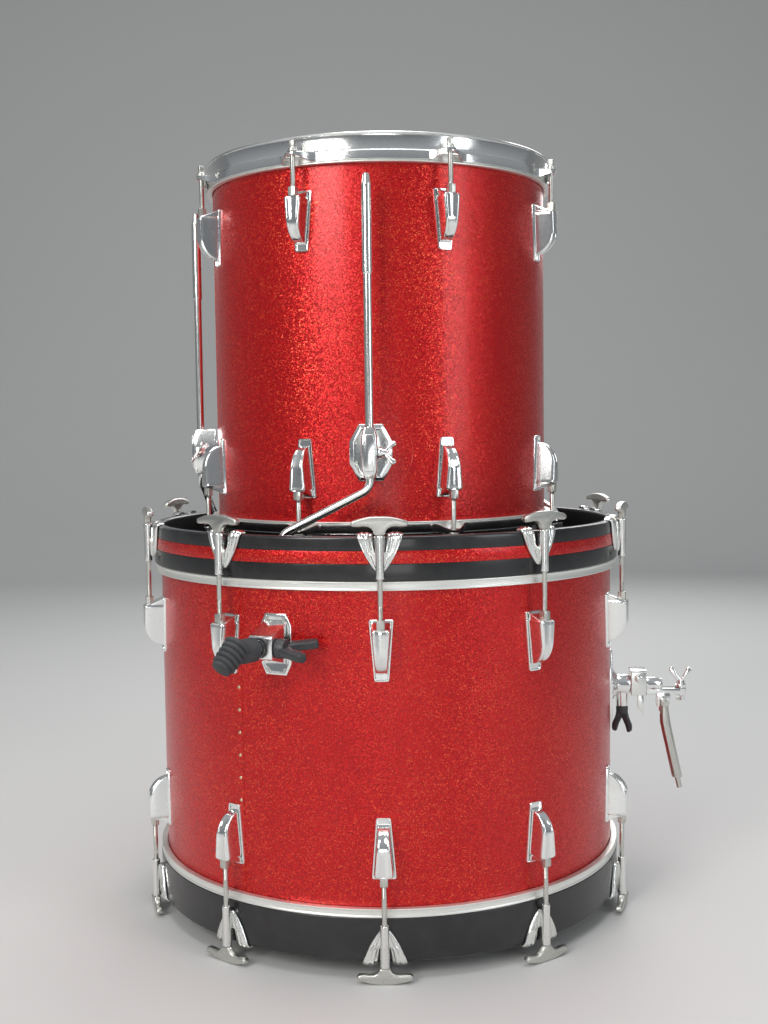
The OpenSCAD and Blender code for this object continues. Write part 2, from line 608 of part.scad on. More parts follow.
// A square-headed rod with its washer on the rim's ear
module key_rod() {
    ear_top = step_z + ear_t + seat_gap;
    translate([0, -tom_rod_r, -tom_lug_inset - nut_in + 6])
        cylinder(r = rod_r, h = tom_lug_inset + nut_in - 6 + ear_top + 5);
    translate([0, -tom_rod_r, ear_top]) cylinder(r = 6, h = 1.6);
    translate([0, -tom_rod_r, ear_top + 1.6]) cylinder(r = 4.4, h = 3);
    translate([-3, -tom_rod_r - 3, ear_top + 4]) cube([6, 6, 8]);
}
module tom_tension_rods() color("silver") at_tom() both_ends(tom_z0, tom_z1)
    around(tom_lug_az, TOM_RODS) key_rod();
module tom_shell_screws() color("silver") at_tom() {
    both_ends(tom_z0, tom_z1) around(tom_lug_az, TOM_RODS)
        lug_screw_set(tom_r, tom_wall, tom_lug_inset);
    leg_places() bracket_screws() plate_screw(tom_r, tom_wall, bracket_plate_t, bracket_screw_x);
}
module tom_vent_grommet() color("silver") at_tom() tom_vent_place() vent(tom_r, tom_wall);

// ---------- Floor tom legs ----------
module leg_places() for (az = LEG_AZ) at_az(az) translate([0, 0, bracket_z]) children();
bracket_screw_x = bracket_w / 2 - 7;
module bracket_screws() for (side = [-1, 1], sz = [-1, 1])
    translate([side * bracket_screw_x, 0, sz * 11]) children();
module tom_leg_brackets() color("gainsboro") at_tom() leg_places() difference() {
    union() {
        from_front(tom_r - 3, tom_r + bracket_plate_t)
            polygon(plate_points(bracket_w, bracket_end_w, bracket_h, bracket_rise));
        translate([-column_w / 2, -leg_ring_r, -column_h / 2])
            cube([column_w, leg_out, column_h]);
        translate([0, -leg_ring_r, -column_h / 2]) cylinder(r = column_w / 2, h = column_h);
    }
    translate([0, 0, -bracket_h]) cylinder(r = tom_r + seat_gap, h = 2 * bracket_h, $fn = ROUND);
    translate([0, -leg_ring_r, -bracket_h]) cylinder(r = leg_grip_r + run_gap, h = 2 * bracket_h);
    translate([0, -leg_ring_r, 0]) rotate([0, 90, 0])
        cylinder(r = wing_screw_r + run_gap, h = column_w);
    bracket_screws() plate_screw_hole(tom_r, tom_wall, bracket_plate_t);
}
// A leg at the front: knurled top, long shank, slanted run to the left and an upright foot
slant = atan(leg_reach / leg_drop);
slant_len = sqrt(pow(leg_reach, 2) + pow(leg_drop, 2));
bend_r = 14;
bend_cut = bend_r * tan(slant / 2);
grip_tip = 3;
// A quarter-like bend of the slant angle in the XZ plane, turned by from_angle round Y
module bend(from_angle) rotate([0, from_angle, 0]) rotate([90, 0, 0])
    rotate_extrude(angle = slant) translate([bend_r, 0]) circle(r = leg_r);
module leg(az) color("silver") at_tom() at_az(az) translate([0, -leg_ring_r, 0]) {
    translate([0, 0, leg_bend_z + bend_cut])
        cylinder(r = leg_r, h = leg_h - leg_grip_h - bend_cut);
    translate([0, 0, leg_top_z - leg_grip_h]) cylinder(r = leg_grip_r, h = leg_grip_h - grip_tip);
    translate([0, 0, leg_top_z - grip_tip]) cylinder(r = leg_r - 0.7, h = grip_tip);
    translate([-bend_r, 0, leg_bend_z + bend_cut]) bend(slant);
    translate([0, 0, leg_bend_z]) rotate([0, 180 + slant, 0]) translate([0, 0, bend_cut])
        cylinder(r = leg_r, h = slant_len - 2 * bend_cut);
    translate([bend_r - leg_reach, 0, leg_knee_z - bend_cut]) bend(slant - 180);
    translate([-leg_reach, 0, leg_floor_z + 8]) cylinder(r = leg_r, h = leg_knee_h - 8 - bend_cut);
}
module leg_foot(az) color("dimgray") at_tom() at_az(az)
    translate([-leg_reach, -leg_ring_r, leg_floor_z]) difference() {
        rotate_extrude() polygon([
            [0, 0], [leg_foot_r - 2, 0], [leg_foot_r, 2], [leg_foot_r, 12], [leg_r + 2.5, leg_foot_h],
            [0, leg_foot_h]
        ]);
        translate([0, 0, 8 - seat_gap]) cylinder(r = leg_r + seat_gap / 2, h = leg_foot_h);
    }
module leg_wing(az) color("silver") at_tom() at_az(az)
    translate([column_w / 2 + move_gap, -leg_ring_r, bracket_z]) rotate([-32, 0, 0])
        wing_knob(6.5, 8, 19, 15, 4, wing_screw_r, column_w / 2 - leg_grip_r + 0.1);

// ---------- Output ----------
bass_shell();
bass_seam_tacks();
bass_front_head();
bass_batter_head();
bass_head_rings();
bass_front_hoop();
bass_front_hoop_inlay();
bass_batter_hoop();
bass_lugs();
bass_lug_nuts();
bass_shell_screws();
bass_claws();
bass_batter_t_rods();
bass_vent_grommet();
spur_brackets();
holder_base();
for (i = [1:BASS_RODS]) upper_t_rod(i - 1);
for (i = [0, 1]) spur(i);
for (i = [0, 1]) spur_foot(i);
for (i = [0, 1]) spur_knob(i);
holder_knob();
holder_post();
holder_collar();
holder_head();
holder_arm();
holder_wing_screw();
tom_shell();
tom_seam_tacks();
tom_top_head();
tom_bottom_head();
tom_head_rings();
tom_top_hoop();
tom_bottom_hoop();
tom_lugs();
tom_lug_nuts();
tom_tension_rods();
tom_shell_screws();
tom_leg_brackets();
tom_vent_grommet();
for (i = [0:2]) leg(LEG_AZ[i]);
for (i = [0:2]) leg_foot(LEG_AZ[i]);
for (i = [0:2]) leg_wing(LEG_AZ[i]);
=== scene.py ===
# %% [markdown]
# # A bass drum on end with a floor tom on top
# Two drums of one kit, stacked for storage. The frame brings every piece at its true size and place, so
# this file only gives each one its real shape and finish. All lengths are in metres.

# %% Load the frame
import json
import math

import bmesh
import bpy
import numpy as np
from mathutils import Matrix, Vector


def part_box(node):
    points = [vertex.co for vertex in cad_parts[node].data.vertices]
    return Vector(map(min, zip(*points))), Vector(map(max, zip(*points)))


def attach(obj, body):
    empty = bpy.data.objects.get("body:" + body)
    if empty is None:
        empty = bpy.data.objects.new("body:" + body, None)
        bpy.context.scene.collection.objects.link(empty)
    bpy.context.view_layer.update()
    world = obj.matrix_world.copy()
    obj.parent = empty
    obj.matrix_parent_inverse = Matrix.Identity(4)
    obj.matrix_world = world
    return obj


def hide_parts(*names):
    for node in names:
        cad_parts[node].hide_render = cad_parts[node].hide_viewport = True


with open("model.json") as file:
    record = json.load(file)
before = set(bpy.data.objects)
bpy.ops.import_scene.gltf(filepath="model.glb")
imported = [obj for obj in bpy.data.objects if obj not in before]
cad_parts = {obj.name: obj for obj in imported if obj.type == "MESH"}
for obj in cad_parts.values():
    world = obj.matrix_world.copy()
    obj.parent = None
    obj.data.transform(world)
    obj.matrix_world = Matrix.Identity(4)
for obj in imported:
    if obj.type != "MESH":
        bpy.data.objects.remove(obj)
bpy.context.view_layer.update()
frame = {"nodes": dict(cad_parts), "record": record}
NODES = frame["nodes"]
MM = 0.001


# %% [markdown]
# ## Where the drums are
# The outlines below are drawn on the front of a drum and turned round its axis, the way a drum maker
# drills a shell. Everything starts from a few radii and heights, and those come from the boxes of the
# frame's own nodes.

# %% Radii and heights from the frame
def low(node):
    return np.array(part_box(node)[0])


def high(node):
    return np.array(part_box(node)[1])


BASS_R = (high("bass_shell")[1] - low("bass_shell")[1]) / 2
BASS_Z0 = low("bass_shell")[2]
BASS_Z1 = high("bass_shell")[2]
TOM_X = (low("tom_shell")[0] + high("tom_shell")[0]) / 2
TOM_R = (high("tom_shell")[1] - low("tom_shell")[1]) / 2
TOM_Z0 = low("tom_shell")[2]
TOM_Z1 = high("tom_shell")[2]
HOOP_R = (high("bass_front_hoop")[1] - low("bass_front_hoop")[1]) / 2
HOOP_EDGE_TOP = high("bass_front_hoop")[2]
HOOP_EDGE_LOW = low("bass_batter_hoop")[2]
HANDLE_TOP = high("t_rod_1")[2]
BASS_ROD_R = BASS_R + 17.3 * MM
TOM_ROD_R = TOM_R + 18.8 * MM
BASS_RODS = 10
TOM_RODS = 8
BASS_LUG_AZ = -1.2
TOM_LUG_AZ = -24.2
BASS_LUG_INSET = 39.5 * MM
TOM_LUG_INSET = 35.2 * MM
ROD_R = 2.75 * MM
print("bass radius", round(BASS_R, 4), "tom radius", round(TOM_R, 4))

# %% [markdown]
# ## Camera
# The camera stands about a metre and a half in front of the drums, a little below the top of the lower
# one's rods, and looks slightly down. A long lens keeps the hoops' curves gentle.

# %% Camera
CAMERA_BACK = 1.5493
CAMERA_UP = 0.5803
PITCH_DOWN = math.radians(3.847)
YAW = math.radians(-0.058)
ROLL = math.radians(-0.737)
LENS_MM = 43.2

forward = Vector((
    math.sin(YAW) * math.cos(PITCH_DOWN),
    math.cos(YAW) * math.cos(PITCH_DOWN),
    -math.sin(PITCH_DOWN),
))
level_right = forward.cross(Vector((0, 0, 1))).normalized()
level_up = level_right.cross(forward)
cam_right = level_right * math.cos(ROLL) + level_up * math.sin(ROLL)
cam_up = level_up * math.cos(ROLL) - level_right * math.sin(ROLL)

camera_data = bpy.data.cameras.new("camera")
camera_data.lens = LENS_MM
camera_data.sensor_width = 36
camera_data.clip_end = 50
camera = bpy.data.objects.new("camera", camera_data)
bpy.context.scene.collection.objects.link(camera)
turn = Matrix((cam_right, cam_up, -forward)).transposed().to_4x4()
camera.matrix_world = Matrix.Translation((0, -CAMERA_BACK, CAMERA_UP)) @ turn
bpy.context.scene.camera = camera
print("camera at", [round(v, 3) for v in camera.location])

# %% [markdown]
# ## Shader maths
# A node tree reads best as a formula. `Wire` wraps a socket, so `1 - mask * 0.5` adds the Math nodes by
# itself, and `Finish.node` adds any other node from its type, its settings and its inputs.


# %% A small language for shaders
class Wire:
    def __init__(self, finish, socket):
        self.finish = finish
        self.socket = socket

    def _math(self, operation, *values):
        return self.finish.node("ShaderNodeMath", {"operation": operation}, values)

    def __add__(self, other):
        return self._math("ADD", self, other)

    def __radd__(self, other):
        return self._math("ADD", other, self)

    def __sub__(self, other):
        return self._math("SUBTRACT", self, other)

    def __rsub__(self, other):
        return self._math("SUBTRACT", other, self)

    def __mul__(self, other):
        return self._math("MULTIPLY", self, other)

    def __rmul__(self, other):
        return self._math("MULTIPLY", other, self)

    def __truediv__(self, other):
        return self._math("DIVIDE", self, other)

    def __gt__(self, other):
        return self._math("GREATER_THAN", self, other)

    def __pow__(self, other):
        return self._math("POWER", self, other)

    def clamp(self):
        return self.finish.node("ShaderNodeClamp", {}, (self, 0.0, 1.0))


class Finish:
    """One material: its node tree, its Principled shader and the slot name that it belongs to."""

    def __init__(self, name, slot, color, roughness, metallic=0.0, **fixed):
        self.slot = slot
        self.material = bpy.data.materials.new(name)
        self.material.use_nodes = True
        self.tree = self.material.node_tree
        self.shader = self.tree.nodes["Principled BSDF"]
        self.set("Base Color", (*color, 1))
        self.set("Roughness", roughness)
        self.set("Metallic", metallic)
        for socket, value in fixed.items():
            self.set(socket.replace("_", " "), value)

    def node(self, kind, settings, values, output=0):
        made = self.tree.nodes.new(kind)
        for name, value in settings.items():
            setattr(made, name, value)
        pairs = values.items() if isinstance(values, dict) else enumerate(values)
        for socket, value in pairs:
            self._join(made.inputs[socket], value)
        return Wire(self, made.outputs[output])

    def _join(self, socket, value):
        if isinstance(value, Wire):
            self.tree.links.new(value.socket, socket)
        else:
            socket.default_value = value

    def set(self, socket, value):
        self._join(self.shader.inputs[socket], value)

    def place(self):
        return self.node("ShaderNodeTexCoord", {}, {}, "Object")

    def stretched(self, scale):
        return self.node("ShaderNodeMapping", {}, {"Vector": self.place(), "Scale": scale})

    def noise(self, scale, detail=3.0, roughness=0.55, at=None):
        return self.node("ShaderNodeTexNoise", {}, {
            "Vector": at or self.place(), "Scale": scale, "Detail": detail, "Roughness": roughness})

    def cells(self, scale, output="Color", at=None):
        return self.node("ShaderNodeTexVoronoi", {}, {"Vector": at or self.place(), "Scale": scale},
                         output)

    def ramp(self, value, stops, output="Color"):
        made = self.tree.nodes.new("ShaderNodeValToRGB")
        while len(made.color_ramp.elements) < len(stops):
            made.color_ramp.elements.new(0.5)
        for element, (spot, color) in zip(made.color_ramp.elements, stops):
            element.position = spot
            element.color = (*color, 1) if isinstance(color, tuple) else (color, color, color, 1)
        self._join(made.inputs["Fac"], value)
        return Wire(self, made.outputs[output])

    def mix(self, amount, a, b):
        a = (*a, 1) if isinstance(a, tuple) else a
        b = (*b, 1) if isinstance(b, tuple) else b
        return self.node("ShaderNodeMix", {"data_type": "RGBA"}, {0: amount, 6: a, 7: b}, 2)

    def bump(self, height, strength, distance):
        self.set("Normal", self.node("ShaderNodeBump", {}, {
            "Height": height, "Strength": strength, "Distance": distance}))


FINISH = {}


def finish(name, slot, color, roughness, metallic=0.0, **fixed):
    FINISH[name] = Finish(name, slot, color, roughness, metallic, **fixed)
    return FINISH[name]


# %% [markdown]
# ## The sparkle wrap
# A sparkle wrap is clear plastic with thousands of small red metal flakes in it, glued round the shell.
# Each flake lies at its own angle, so one flashes while its neighbour is dark. A Voronoi texture gives
# every flake its own random number: it picks the colour and leans the normal. The colour runs from deep
# to bright red, partly the flakes' own spread and partly painted flash, and the brightest few flakes are
# a painted orange glint. The clear plastic over the flakes is the shader's coat, which keeps the smooth
# normal and its sharp reflections.

# %% Red sparkle
FLAKES_PER_M = 1080.0
SEAM_BASS = -35.3
SEAM_TOM = -80.0


SCUFF_CENTRE = (-0.016, 0.556)   # x and z of the front leg's bracket
SCUFF_R = 0.047
SCUFF_HALF_WIDTH = 0.0007


def scuffed(f):
    """1 on the pale arc that the leg has rubbed beside its bracket, 0 elsewhere."""
    apart = f.node("ShaderNodeSeparateXYZ", {}, (f.place(),))
    axes = [Wire(f, apart.socket.node.outputs[i]) for i in range(3)]
    across, up = axes[0] - SCUFF_CENTRE[0], axes[2] - SCUFF_CENTRE[1]
    radius = (across * across + up * up) ** 0.5
    off = f.node("ShaderNodeMath", {"operation": "ABSOLUTE"}, (radius - SCUFF_R,))
    line = 1 - (off / SCUFF_HALF_WIDTH).clamp()
    front = (0.0 - axes[1]) > 0.15
    patchy = f.ramp(f.noise(30.0, 3.0), [(0.38, 0.0), (0.6, 0.75)])
    return line * front * (across > 0.024) * patchy


def red_sparkle(name, flakes):
    f = finish(name, "red_sparkle_wrap", (0.6, 0.02, 0.02), 0.3, 0.55,
               Coat_Weight=0.4, Coat_Roughness=0.2, Coat_IOR=1.45)
    flake = f.cells(flakes)
    parts = f.tree.nodes.new("ShaderNodeSeparateColor")
    f.tree.links.new(flake.socket, parts.inputs[0])
    pick = Wire(f, parts.outputs[0])
    drift = f.noise(9.0, 2.0)
    # Per-flake colour: deep to bright red, partly the flakes' own spread and partly painted flash; the top
    # orange stop is a painted glint.
    flake_tone_and_painted_glint = f.ramp((pick * 0.9 + drift * 0.2).clamp(), [
        (0.0, (0.34, 0.000, 0.003)), (0.35, (0.46, 0.000, 0.003)), (0.7, (0.60, 0.001, 0.004)),
        (0.92, (0.74, 0.012, 0.008)), (0.99, (0.92, 0.12, 0.04))])
    f.set("Base Color", f.mix(scuffed(f), flake_tone_and_painted_glint, (0.86, 0.20, 0.16)))
    f.set("Roughness", Wire(f, parts.outputs[1]) * 0.22 + 0.22)
    lean = f.node("ShaderNodeVectorMath", {"operation": "SUBTRACT"}, (flake, (0.5, 0.5, 0.5)))
    lean = f.node("ShaderNodeVectorMath", {"operation": "SCALE"}, {"Vector": lean, "Scale": 0.34})
    flat = f.node("ShaderNodeNewGeometry", {}, {}, "Normal")
    lean = f.node("ShaderNodeVectorMath", {"operation": "ADD"}, (flat, lean))
    f.set("Normal", f.node("ShaderNodeVectorMath", {"operation": "NORMALIZE"}, (lean,)))
    return f


red_sparkle("red sparkle wrap", FLAKES_PER_M)
print("finish: red sparkle wrap")

# %% [markdown]
# ## Lacquer, plate and polish
# The hoops are black lacquer, which is a dark base under a clear coat with a trace of orange peel. The
# chrome has faint smears, because a perfectly even mirror looks false. The drawn aluminium of the head
# rings carries fine lines round the drum, so its noise is squeezed hard along the height.

# %% Lacquer and metals
lacquer = finish("black lacquer", "black_lacquer", (0.006, 0.006, 0.007), 0.4, 0.0,
                 Coat_Weight=0.5, Coat_Roughness=0.12)
dust = lacquer.noise(55.0, 5.0)
lacquer.set("Base Color", lacquer.mix(lacquer.ramp(dust, [(0.45, 0.0), (0.8, 1.0)]),
                                      (0.004, 0.004, 0.005), (0.016, 0.016, 0.017)))
lacquer.set("Roughness", dust * 0.25 + 0.25)
lacquer.bump(lacquer.noise(160.0, 2.0), 0.12, 0.0004)


def plated(name, slot, color, roughness, smear, worn=(0.4, 0.38, 0.33), wear=0.25):
    """Bright plate with smears in its polish and a little dulling."""
    f = finish(name, slot, color, roughness, 1.0)
    cloud = f.noise(38.0, 4.0)
    speck = f.ramp(f.noise(420.0, 3.0), [(0.58, 0.0), (0.72, 1.0)])
    f.set("Roughness", (cloud * smear + (roughness - smear * 0.3)).clamp())
    f.set("Base Color", f.mix(speck * wear, color, worn))
    f.bump(f.noise(240.0, 2.0), 0.05, 0.0003)
    return f


plated("chrome", "chrome", (0.90, 0.91, 0.90), 0.12, 0.12)
plated("leg chrome", "leg_chrome", (0.88, 0.89, 0.86), 0.16, 0.12)
plated("cast chrome", "cast_claw_chrome", (0.84, 0.85, 0.83), 0.2, 0.2, wear=0.35)
plated("nickel rod", "nickel_rod", (0.62, 0.62, 0.58), 0.3, 0.25, worn=(0.33, 0.31, 0.26), wear=0.5)
plated("brass", "brass_tack", (0.72, 0.62, 0.42), 0.3, 0.2, worn=(0.3, 0.24, 0.14), wear=0.5)

rings = finish("drawn aluminium", "ring_aluminium", (0.86, 0.87, 0.83), 0.4, 0.8)
lines = rings.noise(30.0, 3.0, at=rings.stretched((1.0, 1.0, 90.0)))
rings.set("Roughness", lines * 0.3 + 0.24)
rings.set("Base Color", rings.mix(lines, (0.78, 0.79, 0.75), (0.93, 0.94, 0.90)))
rings.bump(lines, 0.15, 0.0002)
print("finish: lacquer and metals")

# %% [markdown]
# ## Heads, rubber and nylon
# The front head is plain black film, glossy enough to mirror the tom's legs. The playing heads have a
# sprayed white coating: a fine tooth, a little grey where sticks land. The rubber is dull with a bloom
# of dust, and the knobs are moulded nylon with a slight pebble.

# %% Heads, rubber and nylon
film = finish("black film", "black_film", (0.008, 0.008, 0.009), 0.16, 0.0, Specular_IOR_Level=0.6)
film.set("Roughness", film.noise(20.0, 4.0) * 0.16 + 0.1)
film.bump(film.noise(14.0, 2.0), 0.05, 0.001)

coated = finish("coated film", "coated_film", (0.85, 0.85, 0.82), 0.75, 0.0)
scuff = coated.ramp(coated.noise(7.0, 6.0, 0.7), [(0.42, 0.0), (0.75, 1.0)])
coated.set("Base Color", coated.mix(scuff, (0.84, 0.84, 0.81), (0.66, 0.66, 0.63)))
coated.set("Roughness", 0.8 - scuff * 0.2)
coated.bump(coated.noise(900.0, 2.0), 0.3, 0.0003)

rubber = finish("black rubber", "black_rubber", (0.04, 0.042, 0.045), 0.75, 0.0)
bloom = rubber.noise(60.0, 5.0)
rubber.set("Base Color", rubber.mix(bloom, (0.022, 0.024, 0.027), (0.085, 0.09, 0.095)))
rubber.bump(rubber.noise(500.0, 3.0), 0.35, 0.0004)

nylon = finish("black nylon", "black_nylon", (0.03, 0.031, 0.035), 0.45, 0.0)
nylon.set("Base Color", nylon.mix(nylon.noise(45.0, 4.0), (0.02, 0.021, 0.024), (0.06, 0.062, 0.068)))
nylon.set("Roughness", nylon.noise(80.0, 3.0) * 0.3 + 0.3)
nylon.bump(nylon.noise(700.0, 2.0), 0.25, 0.0003)

BY_SLOT = {f.slot: f for f in FINISH.values()}
print("finishes:", len(FINISH))

# %% Give every node of the frame its finish
for part in frame["record"]["subparts"]:
    node = NODES[part["node"]]
    node.data.materials.clear()
    node.data.materials.append(BY_SLOT[part["material_slot"]].material)

# %% [markdown]
# ## Shapes as numbers
# A drum repeats itself: ten lugs, ten claws, eight ears. So each shape is made once on the front of a
# drum, as points and faces, and copies are turned round the axis before one mesh is made of them all.


# %% The Shape class
class Shape:
    """Points and faces. X runs to the right, -Y out of the drum's front and Z up."""

    def __init__(self, points, faces):
        self.points = np.asarray(points, float).reshape(-1, 3)
        self.faces = [tuple(f) for f in faces]

    def __add__(self, other):
        shift = len(self.points)
        return Shape(np.vstack([self.points, other.points]),
                     self.faces + [tuple(i + shift for i in f) for f in other.faces])

    def moved(self, x=0.0, y=0.0, z=0.0):
        return Shape(self.points + (x, y, z), self.faces)

    def turned(self, degrees, axis="Z"):
        m = np.array(Matrix.Rotation(math.radians(degrees), 3, axis))
        return Shape(self.points @ m.T, self.faces)

    def flipped(self, axis):
        sign = np.ones(3)
        sign["XYZ".index(axis)] = -1
        return Shape(self.points * sign, [f[::-1] for f in self.faces])

    def around(self, first, count):
        return joined(self.turned(first + 360 * i / count) for i in range(count))


def joined(shapes):
    first, *others = shapes
    return sum(others, first)


def grid(rows, close_rows=False, close_columns=False):
    """A skin over rows of points, all rows the same length."""
    rows = np.asarray(rows, float)
    n, m = rows.shape[:2]
    faces = []
    for i in range(n if close_rows else n - 1):
        for j in range(m if close_columns else m - 1):
            i2, j2 = (i + 1) % n, (j + 1) % m
            faces.append((i * m + j, i * m + j2, i2 * m + j2, i2 * m + j))
    return Shape(rows.reshape(-1, 3), faces)


def lathe(profile, steps=192, closed=True):
    """A ring or a bar turned round Z from (radius, height) points."""
    angles = np.linspace(0, 2 * math.pi, steps, endpoint=False)
    rows = [[(r * math.cos(a), r * math.sin(a), z) for r, z in profile] for a in angles]
    return grid(rows, close_rows=True, close_columns=closed)


def rounded(corners, radius, steps=4):
    """A closed outline with its corners rounded; a corner may give its own radius as a third value."""
    made = []
    count = len(corners)
    for i, corner in enumerate(corners):
        r = corner[2] if len(corner) > 2 else radius
        here = np.array(corner[:2], float)
        before = np.array(corners[i - 1][:2], float) - here
        after = np.array(corners[(i + 1) % count][:2], float) - here
        reach = min(r, np.linalg.norm(before) * 0.45, np.linalg.norm(after) * 0.45)
        if reach < 1e-7:
            made.append(tuple(here))
            continue
        a = here + before / np.linalg.norm(before) * reach
        b = here + after / np.linalg.norm(after) * reach
        for t in np.linspace(0, 1, steps + 1):
            made.append(tuple((1 - t) ** 2 * a + 2 * t * (1 - t) * here + t * t * b))
    return made


def prism(outline, y0, y1):
    """A flat outline of (x, z) points, cut from depth y0 to depth y1."""
    n = len(outline)
    points = [(x, y, z) for y in (y0, y1) for x, z in outline]
    sides = [(i, (i + 1) % n, n + (i + 1) % n, n + i) for i in range(n)]
    return Shape(points, sides + [tuple(range(n))[::-1], tuple(range(n, 2 * n))])


def softened(shape, width, segments=3, angle=35, subdivide=0):
    """The same shape with its edges rounded, as a casting or a moulding has them."""
    made = build_mesh("temporary", shape)
    thing = bpy.data.objects.new("temporary", made)
    bpy.context.scene.collection.objects.link(thing)
    edge = thing.modifiers.new("edges", "BEVEL")
    edge.width = width
    edge.segments = segments
    edge.angle_limit = math.radians(angle)
    if subdivide:
        thing.modifiers.new("smooth", "SUBSURF").levels = subdivide
    done = thing.evaluated_get(bpy.context.evaluated_depsgraph_get()).to_mesh()
    result = Shape([v.co[:] for v in done.vertices], [tuple(p.vertices) for p in done.polygons])
    bpy.data.objects.remove(thing)
    bpy.data.meshes.remove(made)
    return result


def build_mesh(name, shape, sharp=40):
    mesh = bpy.data.meshes.new(name)
    mesh.from_pydata(shape.points.tolist(), [], shape.faces)
    body = bmesh.new()
    body.from_mesh(mesh)
    bmesh.ops.recalc_face_normals(body, faces=body.faces)
    body.to_mesh(mesh)
    body.free()
    mesh.polygons.foreach_set("use_smooth", [True] * len(mesh.polygons))
    mesh.set_sharp_from_angle(angle=math.radians(sharp))
    return mesh


def piece(name, shape, body, finish_name, stands_for=(), sharp=40):
    """A finished mesh that rides on a body, takes a slot and may stand for nodes of the frame."""
    made = bpy.data.objects.new(name, build_mesh(name, shape, sharp))
    bpy.context.scene.collection.objects.link(made)
    look = FINISH[finish_name]
    made.data.materials.append(look.material)
    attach(made, body)
    if stands_for:
        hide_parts(*stands_for)
    print(name, len(made.data.polygons), "faces")
    return made


def both_ends(shape, z0, z1):
    """A shape drawn at a drum's upper edge, at both of its ends."""
    return shape.moved(z=z1) + shape.flipped("Z").moved(z=z0)


# %% [markdown]
# ## Lofts, stampings and tubes
# Three more ways to make a shape cover nearly all the hardware. A loft joins sections of a casting that
# stands out of a shell. A stamping raises an outline in steps, as a press does. A tube follows a path.
# These work in millimetres, and `mm` turns the result into metres.


# %% Lofts, stampings and tubes
def mm(shape):
    return Shape(shape.points * MM, shape.faces)


def capped(rows, **closing):
    """A skin over rows, its first and last rows filled."""
    skin = grid(rows, **closing)
    n, m = np.asarray(rows).shape[:2]
    ends = [tuple(range(m))[::-1], tuple(range((n - 1) * m, n * m))]
    return Shape(skin.points, skin.faces + ends)


def loft(stations, square=0.3, steps=32, flute=None):
    """Sections of a casting on a drum's front: (height, half width, back radius, front radius)."""
    rows = []
    for z, half, back, front in stations:
        row = []
        for t in np.linspace(0, math.pi, steps + 1):
            c, s = math.cos(t), max(0.0, math.sin(t))
            x = half * math.copysign(abs(c) ** square, c)
            out = (front - back) * (s ** square if s > 1e-6 else 0.0)
            if flute and s > 0.4:
                out -= flute(x / half, z)
            row.append((x, -(back + max(0.0, out)), z))
        rows.append(row)
    return capped(rows)


def inset(outline, distance):
    """An outline moved inwards; a mitre keeps its corners."""
    p = np.asarray(outline, float)
    before, after = p - np.roll(p, 1, 0), np.roll(p, -1, 0) - p
    area = np.sum(p[:, 0] * np.roll(p[:, 1], -1) - np.roll(p[:, 0], -1) * p[:, 1])
    side = math.copysign(1, area)
    inward = [np.stack([-e[:, 1], e[:, 0]], 1) / np.linalg.norm(e, axis=1)[:, None] * side
              for e in (before, after)]
    mitre = (inward[0] + inward[1]) / (1 + np.sum(inward[0] * inward[1], 1))[:, None]
    return p + mitre * distance


def stamped(outline, steps, base):
    """An outline raised in (inset, height) steps above the radius base, its middle filled."""
    return capped([[(x, -(base + h), z) for x, z in inset(outline, d)] for d, h in steps],
                  close_columns=True)


def octagon(width, end_width, height, rise):
    """A plate's outline with cut corners."""
    quarter = [(width / 2, -rise / 2), (width / 2, rise / 2), (end_width / 2, height / 2)]
    return quarter[:2] + [quarter[2], (-end_width / 2, height / 2), (-width / 2, rise / 2),
                          (-width / 2, -rise / 2), (-end_width / 2, -height / 2),
                          (end_width / 2, -height / 2)]


def tube(path, radius, steps=24):
    """A round bar along (x, z) points."""
    p = np.asarray(path, float)
    along = np.gradient(p, axis=0)
    along /= np.linalg.norm(along, axis=1)[:, None]
    rows = []
    for (x, z), (tx, tz) in zip(p, along):
        rows.append([(x - tz * radius * math.cos(a), radius * math.sin(a), z + tx * radius * math.cos(a))
                     for a in np.linspace(0, 2 * math.pi, steps, endpoint=False)])
    return capped(rows, close_columns=True)


def turned_bar(profile, steps=32):
    """A turned part about Z from (radius, height) points, closed on the axis at both ends."""
    return lathe([(0.0, profile[0][1]), *profile, (0.0, profile[-1][1])], steps, closed=False)


def to_x(shape):
    """Lays a part that stands along Z along +X."""
    return shape.turned(90, "Y")


def outwards(shape, radius):
    """Lays a part that stands along Z so that it points out of the drum's front from radius."""
    return shape.turned(90, "X").moved(y=-radius)


def slab(profile, half_width):
    """A side outline of (radius, height) points, half_width to each side."""
    flat = prism([(r, z) for r, z in profile], -half_width, half_width)
    return flat.turned(-90)


def hexagon_bar(across_flats, z0, z1, chamfer=0.8):
    r = across_flats / 2 / math.cos(math.pi / 6)
    rows = []
    for inner, z in ((chamfer, z0), (0.0, z0 + chamfer), (0.0, z1 - chamfer), (chamfer, z1)):
        rows.append([((r - inner) * math.cos(a), (r - inner) * math.sin(a), z)
                     for a in np.linspace(0, 2 * math.pi, 6, endpoint=False)])
    return capped(rows, close_columns=True)


def washer(r, hole, z0, z1):
    return lathe([(hole, z0), (r - 0.4, z0), (r, z0 + 0.4), (r, z1 - 0.4), (r - 0.4, z1), (hole, z1)], 32)


def screw_head(r, height):
    """A slotted round head standing on z = 0."""
    dome = [(r * math.cos(a), height * math.sin(a)) for a in np.linspace(0, 1.45, 7)]
    return turned_bar([(r, -0.6), *dome])


# %% [markdown]
# ## Lugs
# A lug is a cast body on a stamped foot. The foot's edge stands up as a thin lip, with a narrow shadow
# between it and the body. The body is broad at the rod end, where its top slopes down to the front, and
# it narrows and rounds off to the tail. Three flutes run down its face.

# %% Lug
FLUTES = (-0.46, 0.0, 0.46)
LUG_FACE = 24.3      # how far the face stands out
LUG_TAIL = -58.0     # where the body ends above the foot's end
LUG_FOOT_H = 66
LUG_TIP_HALF = 5.2
LUG_TAPER = 6.0


